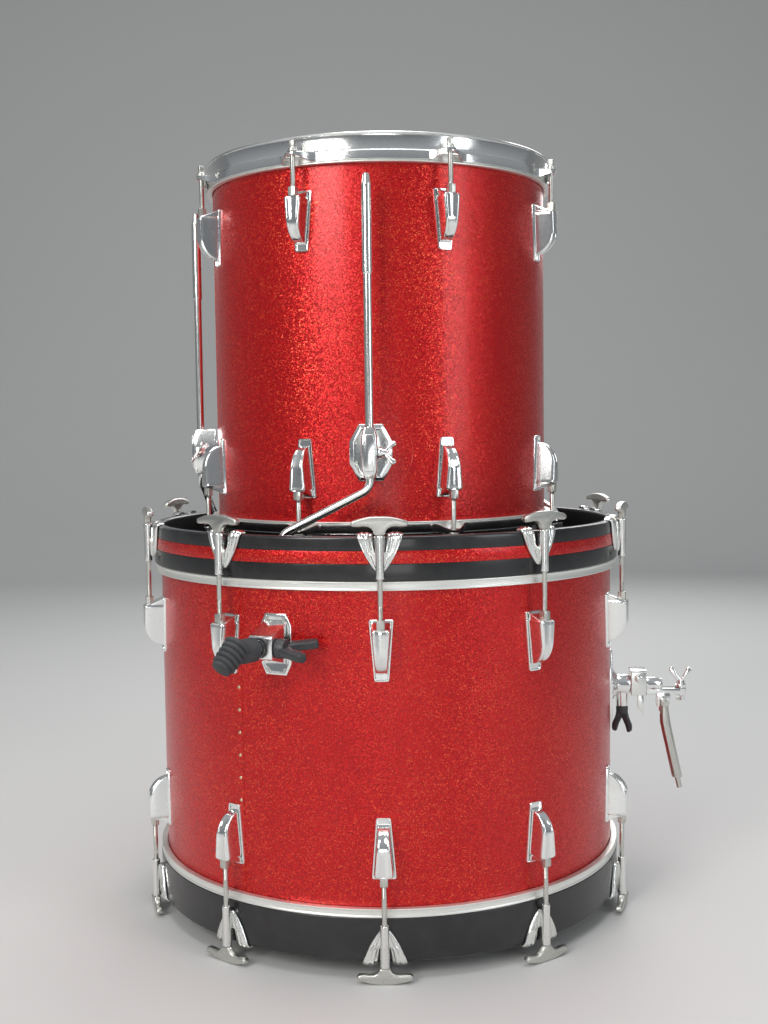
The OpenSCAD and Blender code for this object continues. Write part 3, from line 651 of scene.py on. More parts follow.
def lug_foot(shell_r):
    corners = [(-7.9, -66), (7.9, -66), (13.3, 0), (-13.3, 0)]
    outline = rounded([(x, z, 2.6) for x, z in corners], 2.6, 4)
    foot = stamped(outline, [(0, -1.5), (0, 1.9), (0.35, 2.5), (1.5, 2.6), (1.9, 2.2), (2.3, 0.7)], 0.0)
    p = foot.points.copy()
    p[:, 1] -= np.sqrt(shell_r ** 2 - p[:, 0] ** 2)
    return Shape(p, foot.faces)


def lug_half_width(z):
    return LUG_TIP_HALF + LUG_TAPER * (z + LUG_FOOT_H) / LUG_FOOT_H


def lug_body(shell_r):
    back = shell_r - 0.5
    stations = []
    for a in np.linspace(0.06, math.pi / 2, 14):
        z = LUG_TAIL + 26 * (1 - math.cos(a))
        stations.append((z, lug_half_width(z), back, shell_r + LUG_FACE * math.sin(a)))
    for z in (-26, -20, -14, -11):
        stations.append((z, lug_half_width(z), back, shell_r + LUG_FACE))
    for z, out in ((-9.6, LUG_FACE - 0.2), (-8.7, LUG_FACE - 1.0), (-8.2, LUG_FACE - 2.2), (-1.6, 2.6)):
        edge = 1 if out < LUG_FACE - 0.5 else 0.3
        stations.append((z, lug_half_width(z) - edge, back, shell_r + out))

    def flute(across, z):
        grooves = sum(math.exp(-((across - k) / 0.1) ** 2) for k in FLUTES)
        return 1.15 * grooves * min(1.0, max(0.0, (z - LUG_TAIL - 3) / 8)) * (0.0 if z > -9 else 1.0)

    return loft(stations, 0.24, 56, flute)


def lug(shell_r):
    r = shell_r / MM
    return mm(lug_foot(r) + lug_body(r))


bass_lug = lug(BASS_R).moved(z=-BASS_LUG_INSET).around(BASS_LUG_AZ, BASS_RODS)
piece("bass_lugs_cast", both_ends(bass_lug, BASS_Z0, BASS_Z1), "bass_drum", "chrome", ["bass_lugs"], 42)
tom_lug = lug(TOM_R).moved(z=-TOM_LUG_INSET).around(TOM_LUG_AZ, TOM_RODS)
piece("tom_lugs_cast", both_ends(tom_lug, TOM_Z0, TOM_Z1).moved(x=TOM_X), "floor_tom", "chrome",
      ["tom_lugs"], 42)

# %% [markdown]
# ## Swivel nuts
# A swivel nut stands in each lug's sloping top: a squarish collar, slightly domed, with the rod through
# it.

# %% Nuts
def nut():
    collar = softened(mm(prism([(x, z) for x, z in octagon(8.4, 7.4, 9.6, 8.4)], -4.2, 4.2)), 0.5 * MM, 2)
    bush = lathe([(r * MM, z * MM) for r, z in ((2.9, -8), (4.4, -8), (4.4, 1.2), (2.9, 1.5))], 24)
    return collar.moved(z=-3.4 * MM) + bush


def nuts(rod_r, inset_z, first, count, z0, z1):
    ring = nut().moved(y=-rod_r, z=-inset_z).around(first, count)
    return both_ends(ring, z0, z1)


piece("bass_swivel_nuts", nuts(BASS_ROD_R, BASS_LUG_INSET, BASS_LUG_AZ, BASS_RODS, BASS_Z0, BASS_Z1),
      "bass_drum", "nickel rod", ["bass_lug_nuts"])
tom_nuts = nuts(TOM_ROD_R, TOM_LUG_INSET, TOM_LUG_AZ, TOM_RODS, TOM_Z0, TOM_Z1)
piece("tom_swivel_nuts", tom_nuts.moved(x=TOM_X), "floor_tom", "nickel rod", ["tom_lug_nuts"])

# %% [markdown]
# ## Wooden hoops
# Each hoop is a bent maple band with softened edges. The front one carries an inlay of the same wrap
# as the shell, set almost flush, between two fine grooves.

# %% Hoops
HOOP_WALL = 11.5 * MM
INLAY_Z = (19 * MM, 32.4 * MM)


def hoop(edge_z, seat_z):
    up = 1 if edge_z > seat_z else -1
    height = abs(edge_z - seat_z)
    inner, outer = HOOP_R - HOOP_WALL, HOOP_R
    outline = rounded([(inner, 0, 1 * MM), (outer, 0, 1 * MM), (outer, height), (inner, height)],
                      3.2 * MM, 6)
    return lathe([(r, seat_z + up * z) for r, z in outline], 256)


def grooved_hoop(edge_z, seat_z):
    height = edge_z - seat_z
    inner, outer = HOOP_R - HOOP_WALL, HOOP_R
    z0, z1 = (z - (seat_z - BASS_Z1) for z in INLAY_Z)
    deep = outer - 1.2 * MM
    corners = [(inner, 0, 1 * MM), (outer, 0, 1 * MM), (outer, z0 - 0.5 * MM, 0.4 * MM),
               (deep, z0 - 0.5 * MM, 0), (deep, z1 + 0.5 * MM, 0), (outer, z1 + 0.5 * MM, 0.4 * MM),
               (outer, height, 3.2 * MM), (inner, height, 3.2 * MM)]
    return lathe([(r, seat_z + z) for r, z in rounded(corners, 0, 6)], 256)


def band(r, z0, z1, thick):
    return lathe(rounded([(r - thick, z0), (r, z0), (r, z1), (r - thick, z1)], 0.3 * MM, 2), 256)


piece("front_hoop", grooved_hoop(HOOP_EDGE_TOP, low("bass_front_hoop")[2]), "bass_drum",
      "black lacquer", ["bass_front_hoop"])
piece("front_hoop_inlay", band(HOOP_R - 0.15 * MM, BASS_Z1 + INLAY_Z[0], BASS_Z1 + INLAY_Z[1], 1 * MM),
      "bass_drum", "red sparkle wrap", ["bass_front_hoop_inlay"])
piece("batter_hoop", hoop(HOOP_EDGE_LOW, high("bass_batter_hoop")[2]), "bass_drum",
      "black lacquer", ["bass_batter_hoop"])

# %% [markdown]
# ## Claws
# A claw hooks over the hoop and pulls it down. Two fluted leaves flare from the foot of a sleeve to
# the hoop's edge, curl over it, and leave the sleeve free between them. A leaf is swept: the path runs
# up the hoop's face and over its edge, and the leaf widens along it.

# %% Claw
PLATE_OUT = HOOP_R + 0.4 * MM


def leaf():
    """The right-hand leaf, with the hoop's edge at z = 0."""
    spine = [(0.0, z) for z in np.linspace(-36, -3, 14)]
    spine += [(-3.0 + 3.0 * math.cos(a), -3 + 3.9 * math.sin(a)) for a in np.linspace(0.25, math.pi / 2, 7)]
    spine += [(x, 0.9) for x in (-5.0, -6.5, -8.0)]
    rows = []
    for i, (back, z) in enumerate(spine):
        t = (min(z, 0.9) + 36) / 36.9
        outer = 4.5 + 19.5 * t ** 0.86 + 1.6 * math.sin(math.pi * t)
        inner = 0.0 if z < -17 else 5.2 + 2.8 * min(1.0, (z + 17) / 17)
        lean = math.pi / 2 if i < 14 else math.pi / 2 - (i - 13) / 7 * math.pi / 2
        lean = max(0.0, lean)
        thick = 3.4 - 1.2 * t
        row = []
        for s in np.linspace(0, 1, 17):
            x = inner + (outer - inner) * s
            rib = 0.55 * math.cos(s * math.pi * 6) + 0.9 * math.sin(math.pi * s) ** 0.5
            h = thick + rib * min(1.0, t * 2 + 0.15) - 1.6 * (abs(2 * s - 1) ** 8)
            row.append((x, back + h * math.sin(lean), z + h * math.cos(lean)))
        for s in np.linspace(1, 0, 5):
            x = inner + (outer - inner) * s
            row.append((x, back, z))
        rows.append(row)
    skin = capped(rows, close_columns=True)
    p = skin.points * MM
    p[:, 1] = -(PLATE_OUT + p[:, 1])
    return Shape(p, skin.faces)


def sleeve():
    profile = [(3.0, -43.2), (4.2, -43.2), (4.6, -42.4), (4.5, -30), (4.9, -6), (5.3, 0.6), (5.0, 1.6),
               (3.0, 1.8)]
    return lathe([(r * MM, z * MM) for r, z in rounded(profile, 0.5, 2)], 32)


def claw():
    web = softened(prism([(x * MM, z * MM) for x, z in [(-3.4, -37), (3.4, -37), (3.4, -3), (-3.4, -3)]],
                         -PLATE_OUT - 1 * MM, -BASS_ROD_R), 0.6 * MM, 2)
    return leaf() + leaf().flipped("X") + sleeve().moved(y=-BASS_ROD_R) + web


claws = claw().around(BASS_LUG_AZ, BASS_RODS)
piece("claws", both_ends(claws, HOOP_EDGE_LOW, HOOP_EDGE_TOP), "bass_drum", "cast chrome",
      ["bass_claws"], 55)

# %% [markdown]
# ## Tuning handles
# Each handle is a cast bow, thick at the neck and rounded at its ends, on a long threaded rod. The
# upper ten turn one by one, so each is a piece of its own; the lower ten carry the drum.

# %% Handles

def bow_top(x):
    return -max(0.0, abs(x) - 3) ** 2 / 82 * 0.62


def handle(rise):
    """A handle whose crown is rise above the hoop's edge at z = 0."""
    end = 26.3
    left = [(-x, bow_top(x)) for x in (23, 19, 15, 11, 7, 3)]
    right = [(x, bow_top(x)) for x in (3, 7, 11, 15, 19, 23)]
    tip_z = bow_top(end) - 3.2
    cap = [(end + 3.2 * math.cos(a), tip_z + 3.2 * math.sin(a)) for a in np.linspace(1.2, -1.45, 7)]
    under = [(22, -10.6), (17, -9.9), (12, -10.4), (8.4, -12.4), (6.4, -15.2), (5.2, -rise / MM + 2)]
    outline = left + right + cap + under
    outline += [(-x, z) for x, z in under[::-1]] + [(-x, z) for x, z in cap[::-1]]
    flat = prism([(x * MM, z * MM) for x, z in outline], -4 * MM, 4 * MM)
    return softened(flat, 1.9 * MM, 3, 50).moved(y=-BASS_ROD_R, z=rise)


def rod(r, z0, z1, thread_z=None):
    """A steel rod, threaded below thread_z."""
    profile = [(0.0, z0), (r * 0.8, z0)]
    if thread_z is not None:
        turns = int((thread_z - z0) / (1.1 * MM))
        for k in range(turns):
            z = z0 + 0.6 * MM + k * 1.1 * MM
            profile += [(r, z), (r - 0.3 * MM, z + 0.55 * MM)]
    profile += [(r, (thread_z or z0) + 0.8 * MM), (r, z1), (0.0, z1)]
    return lathe(profile, 24, closed=False)


def t_rod(rise):
    foot = -(HOOP_EDGE_TOP - BASS_Z1) - BASS_LUG_INSET - 18 * MM
    return handle(rise) + rod(ROD_R, foot, rise - 8 * MM, foot + 34 * MM).moved(y=-BASS_ROD_R)


upper = t_rod(HANDLE_TOP - HOOP_EDGE_TOP)
for i in range(BASS_RODS):
    name = f"t_rod_{i + 1}"
    shape = upper.moved(z=HOOP_EDGE_TOP).turned(BASS_LUG_AZ + 36 * i)
    piece(f"tuning_rod_{i + 1}", shape, name, "nickel rod", [name])
lower = t_rod(HOOP_EDGE_LOW).flipped("Z").moved(z=HOOP_EDGE_LOW).around(BASS_LUG_AZ, BASS_RODS)
piece("batter_tuning_rods", lower, "bass_drum", "nickel rod", ["bass_batter_t_rods"])

# %% [markdown]
# ## Flanged hoops
# The tom's hoops are pressed from sheet steel: a rolled top edge, an upright wall, a step that sits on
# the head's ring, and a skirt. At each rod the step runs out into an ear and the skirt lifts round it,
# so the section changes on the way round. One formula, `ear`, says how much of an ear there is at any
# angle.

# %% Tom hoops
RIM_RISE = high("tom_top_hoop")[2] - TOM_Z1
SKIRT_DROP = 6.2 * MM
RIM_IN = TOM_R + 3.6 * MM
SKIRT_R = TOM_R + 8.9 * MM
EAR_R = TOM_R + 24.6 * MM
SHEET = 2.2 * MM
STEP_Z = 1.2 * MM


def ear(angle, half_width):
    """1 at a rod, 0 further off than half_width metres along the hoop."""
    step = 2 * math.pi / TOM_RODS
    off = (angle - math.radians(TOM_LUG_AZ) + step / 2) % step - step / 2
    t = abs(off) * SKIRT_R / half_width
    return 0.0 if t >= 1 else (1 + math.cos(math.pi * t)) / 2


def rim():
    rows = []
    for a in np.linspace(0, 2 * math.pi, 768, endpoint=False):
        e = ear(a, 24 * MM)
        lift = ear(a, 19 * MM) ** 0.8
        skirt_r = SKIRT_R + (EAR_R - SKIRT_R) * e
        skirt_z = -SKIRT_DROP + (SKIRT_DROP + STEP_Z - 0.6 * MM) * lift
        top = RIM_RISE
        section = [
            (RIM_IN, STEP_Z), (RIM_IN, top - 2.6 * MM), (RIM_IN + 0.3 * MM, top - 0.6 * MM),
            (RIM_IN + 1.2 * MM, top), (RIM_IN + 3.6 * MM, top), (RIM_IN + 4.6 * MM, top - 0.9 * MM),
            (RIM_IN + 4.2 * MM, top - 2.2 * MM), (RIM_IN + 2.6 * MM, top - 2.7 * MM),
            (RIM_IN + SHEET, top - 4 * MM), (RIM_IN + SHEET, STEP_Z + 4.4 * MM),
            (RIM_IN + SHEET + 0.6 * MM, STEP_Z + 2.9 * MM), (RIM_IN + SHEET + 1.8 * MM, STEP_Z + SHEET),
            (skirt_r - 1.6 * MM, STEP_Z + SHEET), (skirt_r - 0.3 * MM, STEP_Z + SHEET - 0.7 * MM),
            (skirt_r, STEP_Z + SHEET - 2 * MM if skirt_z < STEP_Z - 1 * MM else STEP_Z + 0.5 * MM),
            (skirt_r, skirt_z), (skirt_r - 0.9 * MM, skirt_z - 0.3 * MM),
            (skirt_r - 1.8 * MM, skirt_z + 0.2 * MM),
            (skirt_r - 2 * MM, max(skirt_z + 0.4 * MM, STEP_Z - 1.6 * MM)), (skirt_r - 3 * MM, STEP_Z)]
        rows.append([(r * math.sin(a), -r * math.cos(a), z) for r, z in section])
    return grid(rows, close_rows=True, close_columns=True)


piece("top_hoop", rim().moved(x=TOM_X, z=TOM_Z1), "floor_tom", "chrome", ["tom_top_hoop"], 35)
piece("bottom_hoop", rim().flipped("Z").moved(x=TOM_X, z=TOM_Z0), "floor_tom", "chrome",
      ["tom_bottom_hoop"], 35)


# %% [markdown]
# ## Tension rods of the floor tom
# Each rod has a square head on a round collar, with a washer on the hoop's ear.

# %% Key rods
EAR_TOP = 3.4        # the washer's seat above the shell's edge, in millimetres


def key_rod():
    z0, z1 = EAR_TOP + 4.6, EAR_TOP + 12
    square = softened(mm(prism([(-3, z0), (3, z0), (3, z1), (-3, z1)], -3, 3)), 0.5 * MM, 2)
    collar = turned_bar([(r, EAR_TOP + z) for r, z in ((4.6, 1.7), (4.7, 3.4), (4.2, 4.4), (3.4, 5))], 32)
    head = mm(washer(6.0, 3.0, EAR_TOP, EAR_TOP + 1.6) + collar)
    shank = rod(ROD_R, -TOM_LUG_INSET - 18 * MM, EAR_TOP * MM, -TOM_LUG_INSET + 4 * MM)
    return (square + head + shank).moved(y=-TOM_ROD_R)


key_rods = key_rod().around(TOM_LUG_AZ, TOM_RODS)
piece("key_rods", both_ends(key_rods, TOM_Z0, TOM_Z1).moved(x=TOM_X), "floor_tom", "nickel rod",
      ["tom_tension_rods"], 50)

# %% [markdown]
# ## Leg brackets
# A bracket is a stamped plate with two windows of shadow beside a tall tapered housing for the leg. A
# raised panel lies on the housing's face.

# %% Leg brackets
LEG_AZ = {"front": -3.0, "left": -91.7, "rear": 133.3}
LEG_RING_R = 228.0
BRACKET_Z = 555.15
HOUSING_FACE = 237.6
HOUSING_W = 19


def leg_bracket():
    r = TOM_R / MM
    plate = stamped(octagon(48, 27, 63.3, 25),
                    [(0, -2), (0, 0.9), (0.7, 2.4), (4.4, 4.6), (5.4, 4.6), (6.3, 4.0), (7.0, 1.2)], r)
    plate = softened(mm(plate), 0.35 * MM, 2, 25)
    ends = ((28.0, 5.2, 232.6), (27.2, 6.2, 234.4))
    stations = [(side * z, half, r - 1, front) for side, group in (
        (-1, (*ends, (18.0, 8.6, HOUSING_FACE), (0.0, 9.4, HOUSING_FACE))),
        (1, ((18.0, 8.6, HOUSING_FACE), *ends[::-1]))) for z, half, front in group]
    housing = mm(loft(stations, 0.2, 40))
    panel = stamped(octagon(12.6, 8.6, 40, 25), [(0, -2), (0, 0.3), (0.5, 0.7)], HOUSING_FACE)
    panel = softened(mm(panel), 0.2 * MM, 1)
    return plate + housing + panel


placed = joined(leg_bracket().turned(az).moved(x=TOM_X, z=BRACKET_Z * MM) for az in LEG_AZ.values())
piece("leg_bracket_castings", placed, "floor_tom", "chrome", ["tom_leg_brackets"], 32)


# %% [markdown]
# ## Wing screws and wing knobs
# A turned hub carries two flared wings with rounded ends. The metal ones have a knurled collar; the
# moulded ones are thick and ribbed for the fingers.

# %% Wings
def wing_pair(hub, wing, thick, soft):
    """A knob along +X from the hub's (radius, distance) profile and one wing's outline."""
    blades = prism(wing, -thick / 2, thick / 2)
    blades = softened(mm(blades + blades.flipped("Z")), soft * MM, 3, 30)
    return mm(to_x(turned_bar(hub, 40))) + blades


METAL_HUB = [(3.0, -0.2), (6.3, 0.0), (6.5, 0.4), (6.5, 1.4), (6.0, 1.7), (6.5, 2.0), (6.5, 3.2),
             (5.6, 3.7), (4.4, 4.0), (4.2, 8.4), (3.4, 9.0)]
METAL_WING = [(4.6, -0.5), (5.6, 3.4), (8.4, 6.2), (13.2, 13.8), (15.6, 14.8), (18.4, 13.6), (18.9, 9.2),
              (15.2, 7.4), (11.6, 3.6), (9.2, -0.5)]
for side, az in LEG_AZ.items():
    wing = wing_pair(METAL_HUB, METAL_WING, 3.8, 1.3).turned(-32, "X")
    screw = wing + mm(to_x(turned_bar([(3, -4.2), (3, 0)])))
    screw = screw.moved(x=(HOUSING_W / 2 + 0.3) * MM, y=-LEG_RING_R * MM).turned(az)
    name = f"leg_wing_{side}"
    piece(f"wing_screw_{side}", screw.moved(x=TOM_X, z=BRACKET_Z * MM), name, "chrome", [name], 40)

# %% [markdown]
# ## Floor tom legs
# A leg hangs in its bracket: a knurled grip with a turned point on top, a plain shank, two bends and a
# short upright end in a rubber foot. The path is drawn once and each bend is a fair curve.

# %% Legs
LEG_FLOOR = 423.5
LEG_KNEE = 467.5
LEG_BEND = 516.5
LEG_TOP = 851.5
LEG_REACH = -97.0
GRIP_H = 104.0
LEG_R = 4.7


def fair_path(corners, radius, steps=12):
    """Straight runs joined by round bends."""
    made = [corners[0]]
    for before, here, after in zip(corners, corners[1:], corners[2:]):
        a = np.subtract(before, here) / np.linalg.norm(np.subtract(before, here))
        b = np.subtract(after, here) / np.linalg.norm(np.subtract(after, here))
        half = math.acos(np.clip(a @ b, -1, 1)) / 2
        cut = radius / math.tan(half)
        middle = (a + b) / np.linalg.norm(a + b)
        centre = np.array(here) + middle * radius / math.sin(half)
        start, end = np.array(here) + a * cut - centre, np.array(here) + b * cut - centre
        for t in np.linspace(0, 1, steps):
            way = (1 - t) * start + t * end
            made.append(tuple(centre + way / np.linalg.norm(way) * radius))
    return made + [corners[-1]]


def grip():
    """The knurled end: crossed rows of small teeth, then a turned point."""
    rows = []
    for i, z in enumerate(np.arange(LEG_TOP - GRIP_H, LEG_TOP - 13, 1.1)):
        row = []
        for j, a in enumerate(np.linspace(0, 2 * math.pi, 36, endpoint=False)):
            tooth = 5.5 + 0.2 * ((i + j) % 2)
            row.append((tooth * math.cos(a), tooth * math.sin(a), z))
        rows.append(row)
    point = ((5.5, 14), (5.7, 12), (5.0, 10), (4.0, 3), (3.3, 0.4), (2.4, 0))
    top = turned_bar([(r, LEG_TOP - down) for r, down in point])
    collar = turned_bar([(r, LEG_TOP - GRIP_H + up) for r, up in ((4.7, -2), (5.6, -0.6), (5.6, 0.4))])
    return capped(rows, close_columns=True) + top + collar


def leg():
    corners = [(0, LEG_TOP - GRIP_H), (0, LEG_BEND), (LEG_REACH, LEG_KNEE), (LEG_REACH, LEG_FLOOR + 9)]
    path = fair_path(corners, 15)
    fine = [path[0]]
    for a, b in zip(path, path[1:]):
        count = max(1, int(np.linalg.norm(np.subtract(b, a)) / 12))
        fine += [tuple(np.add(a, np.subtract(b, a) * t)) for t in np.linspace(0, 1, count + 1)[1:]]
    return tube(fine, LEG_R) + grip()


def leg_foot():
    profile = [(9.6, 0), (11.4, 0.5), (12, 1.6), (12, 10.6), (11.2, 12.2), (10.2, 12.9), (9.9, 16),
               (8.4, 26), (7.6, 29.2), (6.2, 30), (4.7, 29.6)]
    return turned_bar(profile, 40).moved(x=LEG_REACH, z=LEG_FLOOR)


for side, az in LEG_AZ.items():
    for name, shape, look in ((f"leg_{side}", leg(), "leg chrome"),
                              (f"leg_foot_{side}", leg_foot(), "black rubber")):
        shape = mm(shape.moved(y=-LEG_RING_R)).turned(az).moved(x=TOM_X)
        piece(f"{name}_turned", shape, f"leg_{side}", look, [name], 45)

# %% [markdown]
# ## Spurs
# A spur's bracket is a stamped eight-sided plate with a stepped housing. The shaft leans away from the
# radius, and its rubber foot hangs forward: a plain neck and a barrel with five ribs. A moulded wing
# knob on the right clamps the shaft.

# %% Spurs
SPUR_AZ = {"left": -24.8, "right": 195.4}
SPUR_YAW = {"left": -15.0, "right": 15.0}
SPUR_Z = 354.0
SPUR_TILT = 40.0
SPUR_BOX_OUT = 35.0
SPUR_PIVOT = BASS_R / MM + SPUR_BOX_OUT / 2
SPUR_LEAN = math.radians(15)
SPUR_NECK = SPUR_PIVOT + (SPUR_BOX_OUT / 2 + 0.3) / math.cos(SPUR_LEAN) + 13 * math.tan(SPUR_LEAN)


def on_spur_line(shape, side):
    """Moves a part drawn along the radius onto the spur's own line, which leans by its yaw."""
    shape = shape.moved(y=SPUR_PIVOT).turned(SPUR_YAW[side]).moved(y=-SPUR_PIVOT)
    return mm(shape.turned(SPUR_AZ[side]).moved(z=SPUR_Z))


def spur_bracket(side):
    r = BASS_R / MM
    hole_x = -4.7 if side == "left" else 4.7
    plate = stamped(octagon(37, 25, 66.7, 40.7),
                    [(0, -2), (0, 1.4), (0.6, 2.6), (2.5, 3.0), (3.2, 2.4), (3.8, 0.9)], r)
    plate = softened(mm(plate), 0.3 * MM, 2, 25)
    profile = [(r - 2, 25.4), (r + 2.0, 25.4), (r + 15, 19.4), (r + 33, 13.6),
               (r + SPUR_BOX_OUT, 12.2), (r + SPUR_BOX_OUT, -10), (r + 33, -11.4), (r - 2, -21.8)]
    box = softened(mm(slab(profile, 13.8)), 0.8 * MM, 3, 12)
    collar = mm(outwards(washer(10.4, 6.6, 0, 1.0), r + SPUR_BOX_OUT - 0.9).moved(x=hole_x))
    return plate + box + collar


def spur_foot():
    neck = outwards(turned_bar([(11.6, 0), (12.8, 0.9), (12.9, 16), (12.0, 24), (9.5, 28)], 48), SPUR_NECK)
    profile = [(9.5, -6), (11.5, -4.6)]
    for k in range(5):
        rib_r, z = 14.9 - 0.5 * k, -3.4 + 6 * k
        profile += [(rib_r - 2.9, z - 0.4), (rib_r - 0.5, z + 0.4), (rib_r, z + 1.3), (rib_r, z + 2.9),
                    (rib_r - 0.6, z + 3.8), (rib_r - 2.7, z + 4.5)]
    profile += [(10.9, 27.6), (10.4, 29.2), (8.6, 30)]
    barrel = outwards(turned_bar(profile, 56), 0.0).turned(SPUR_TILT, "X").moved(y=-(SPUR_NECK + 24), z=5)
    return neck + barrel


HUB_PLASTIC = [(6, 0), (9.4, 0.4), (10.6, 1.6), (10.8, 7), (9.6, 11), (6, 12.6)]
SPUR_WING = [(3.6, -0.5), (5.4, 9.2), (14, 12.6), (30, 19.4), (37, 19.6), (41, 16.6), (41.4, 12.8),
             (33, 8.4), (22, 4.6), (15, -0.5)]


def ribbed_wings(wing, hub, thick, ribs):
    """Thick moulded wings with finger ribs across them."""
    knob = wing_pair(hub, wing, thick, 2.2)
    bars = []
    for x, z in ribs:
        half = thick / 2
        bar = turned_bar([(0.9, -half - 0.7), (1.5, -half), (1.5, half), (0.9, half + 0.7)], 12)
        bar = bar.turned(90, "X")
        bars += [bar.moved(x=x, z=z), bar.moved(x=x, z=-z)]
    return knob + mm(joined(bars))


def spur_knob():
    ribs = [(38.4 - 3.6 * k, 16.8 - 1.5 * k) for k in range(5)]
    return ribbed_wings(SPUR_WING, HUB_PLASTIC, 8.8, ribs)


placed = joined(spur_bracket(side).turned(az).moved(z=SPUR_Z * MM) for side, az in SPUR_AZ.items())
piece("spur_bracket_castings", placed, "bass_drum", "chrome", ["spur_brackets"], 32)
for side, az in SPUR_AZ.items():
    foot = on_spur_line(spur_foot(), side)
    piece(f"spur_rubber_{side}", foot, f"spur_{side}", "black rubber", [f"spur_foot_{side}"], 40)
    knob = spur_knob().turned(-72, "X")
    knob = knob + mm(to_x(turned_bar([(3, -4.6), (3, 0.5)])))
    knob = knob.moved(x=14.3 * MM, y=-BASS_R - 24 * MM).turned(az).moved(z=SPUR_Z * MM)
    piece(f"spur_wing_{side}", knob, f"spur_knob_{side}", "black nylon", [f"spur_knob_{side}"], 40)

# %% [markdown]
# ## Holder
# A rod holder sits on the right. Its plate carries a round receiver with a black wing knob below. The
# post slides in it, stopped by a square memory clamp, and a swivelling head on the post grips a bent
# six-sided arm.

# %% Holder
HOLDER_AZ = 86.0
HOLDER_Z = 257.0
ARM_PIVOT_R = 346.4
WING_BOLT_R = 368.4
HOLDER_KNOB_R = 295.9


def in_mm(shape):
    return Shape(shape.points / MM, shape.faces)


def at_holder(shape):
    return mm(shape).turned(HOLDER_AZ).moved(z=HOLDER_Z * MM)


def holder_base():
    r = BASS_R / MM
    plate = stamped(octagon(44, 30, 92, 58), [(0, -3), (0, 1.4), (0.8, 2.6), (4.5, 3.0), (6.5, 2.6)], r)
    plate = in_mm(softened(mm(plate), 0.4 * MM, 2, 25))
    ring = outwards(turned_bar([(21, -2), (21, 3), (18.6, 5.4), (16.4, 6.2), (14.4, 8), (12.5, 10),
                                (12.5, 24), (11.6, 25.6), (6, 26)], 56), r)
    boss = turned_bar([(7.4, -27), (7.9, -26.2), (7.9, -8)], 36).moved(y=-(r + 16.5))
    return plate + ring + boss


def holder_collar():
    r0, r1 = 305.8, 324.6
    block = softened(slab([(r0, -12.6), (r1, -12.6), (r1, 19), (r0, 19)], 11.9), 0.9, 3)
    screw = ((screw_head(4.6, 1.6), -12.3), (turned_bar([(5.6, -0.6), (5.6, 0.3), (4.8, 0.6)]), -11.9))
    front = joined(to_x(part).flipped("X").moved(x=x, y=-(r0 + r1) / 2, z=9) for part, x in screw)
    fin = softened(slab([(313.8, -11), (321.6, -11), (321.6, -38.4), (318, -33), (316.6, -31), (313.8, -27)],
                        2.4).moved(x=-7.4), 0.5, 2)
    lip = softened(slab([(r0 - 0.4, 16), (r1 + 0.4, 16), (r1 + 0.4, 19.2), (r0 - 0.4, 19.2)], 12.2), 0.6, 2)
    return block + front + fin + lip


def holder_head():
    r0 = 325.1
    barrel = turned_bar([(7.8, 0), (8.8, 0.8), (8.8, 14), (7.4, 16), (7.2, 19.5), (5.6, 20.4)], 40)
    barrel = outwards(barrel, r0)
    side = [(r0, -12.6), (WING_BOLT_R, -12.6), (WING_BOLT_R, -4.4), (r0 + 18, -4.4), (r0 + 10, -2), (r0, -2)]
    bar = softened(slab(side, 6.8), 1.2, 3)
    nose = turned_bar([(6.2, -12.6), (6.9, -11.6), (6.9, -5.4), (6.1, -4.4)], 40).moved(y=-WING_BOLT_R)
    block = softened(slab([(338, -27.6), (355, -27.6), (355, -10), (338, -10)], 7.5), 1.0, 3)
    under = hexagon_bar(11, -19.5, -12.4).moved(y=-WING_BOLT_R)
    under = under + hexagon_bar(10, -34, -27.4).moved(y=-ARM_PIVOT_R)
    return barrel + bar + nose + block + under


def holder_arm():
    eye = to_x(turned_bar([(3.8, -6), (5.0, -5.4), (5.5, -4.0), (5.5, 4.4), (5.0, 5.6), (4.0, 6)], 40))
    pin = to_x(turned_bar([(2.8, -7.8), (3.0, -7.2), (3.0, 24), (2.4, 24.8)]))
    nut_far = to_x(hexagon_bar(9.6, 22.6, 25.6))
    path = [(0, -1), (0, -9), (0.3, -17), (1.0, -25), (3.6, -38), (16.0, -94.4)]
    swell = [0.72, 0.8, 0.95, 1.0, 1.0, 1.0]
    rows = []
    flats = 11.4 / 2 / math.cos(math.pi / 6)
    for (lean, z), share in zip(path, swell):
        r = flats * share
        rows.append([(r * math.cos(a + math.pi / 6), -lean + r * math.sin(a + math.pi / 6), z)
                     for a in np.linspace(0, 2 * math.pi, 6, endpoint=False)])
    rod_shape = softened(capped(rows, close_columns=True), 0.5, 2, 30)
    tip = turned_bar([(3.2, -12.8), (3.2, 1)], 24).turned(-12.6, "X").moved(y=-16.0, z=-94.6)
    return (eye + pin + nut_far + rod_shape + tip).moved(x=-14.2, y=-ARM_PIVOT_R, z=-20)


def holder_wing():
    wing = wing_pair([(3.4, 0), (6.4, 0.4), (6.8, 3.4), (5.4, 4.2), (4.8, 8.8), (3.6, 9.4)],
                     [(3.4, -0.5), (6, 4.4), (12, 7.5), (19, 13.6), (23, 14.4), (25.6, 11.6), (24.4, 7.8),
                      (16, 4.2), (10, -0.5)], 3.8, 1.3)
    stem = mm(to_x(turned_bar([(3, -13.8), (3, 0.5)])))
    return in_mm((wing + stem).turned(-90, "Y").turned(90)).moved(y=-WING_BOLT_R, z=-3.7)


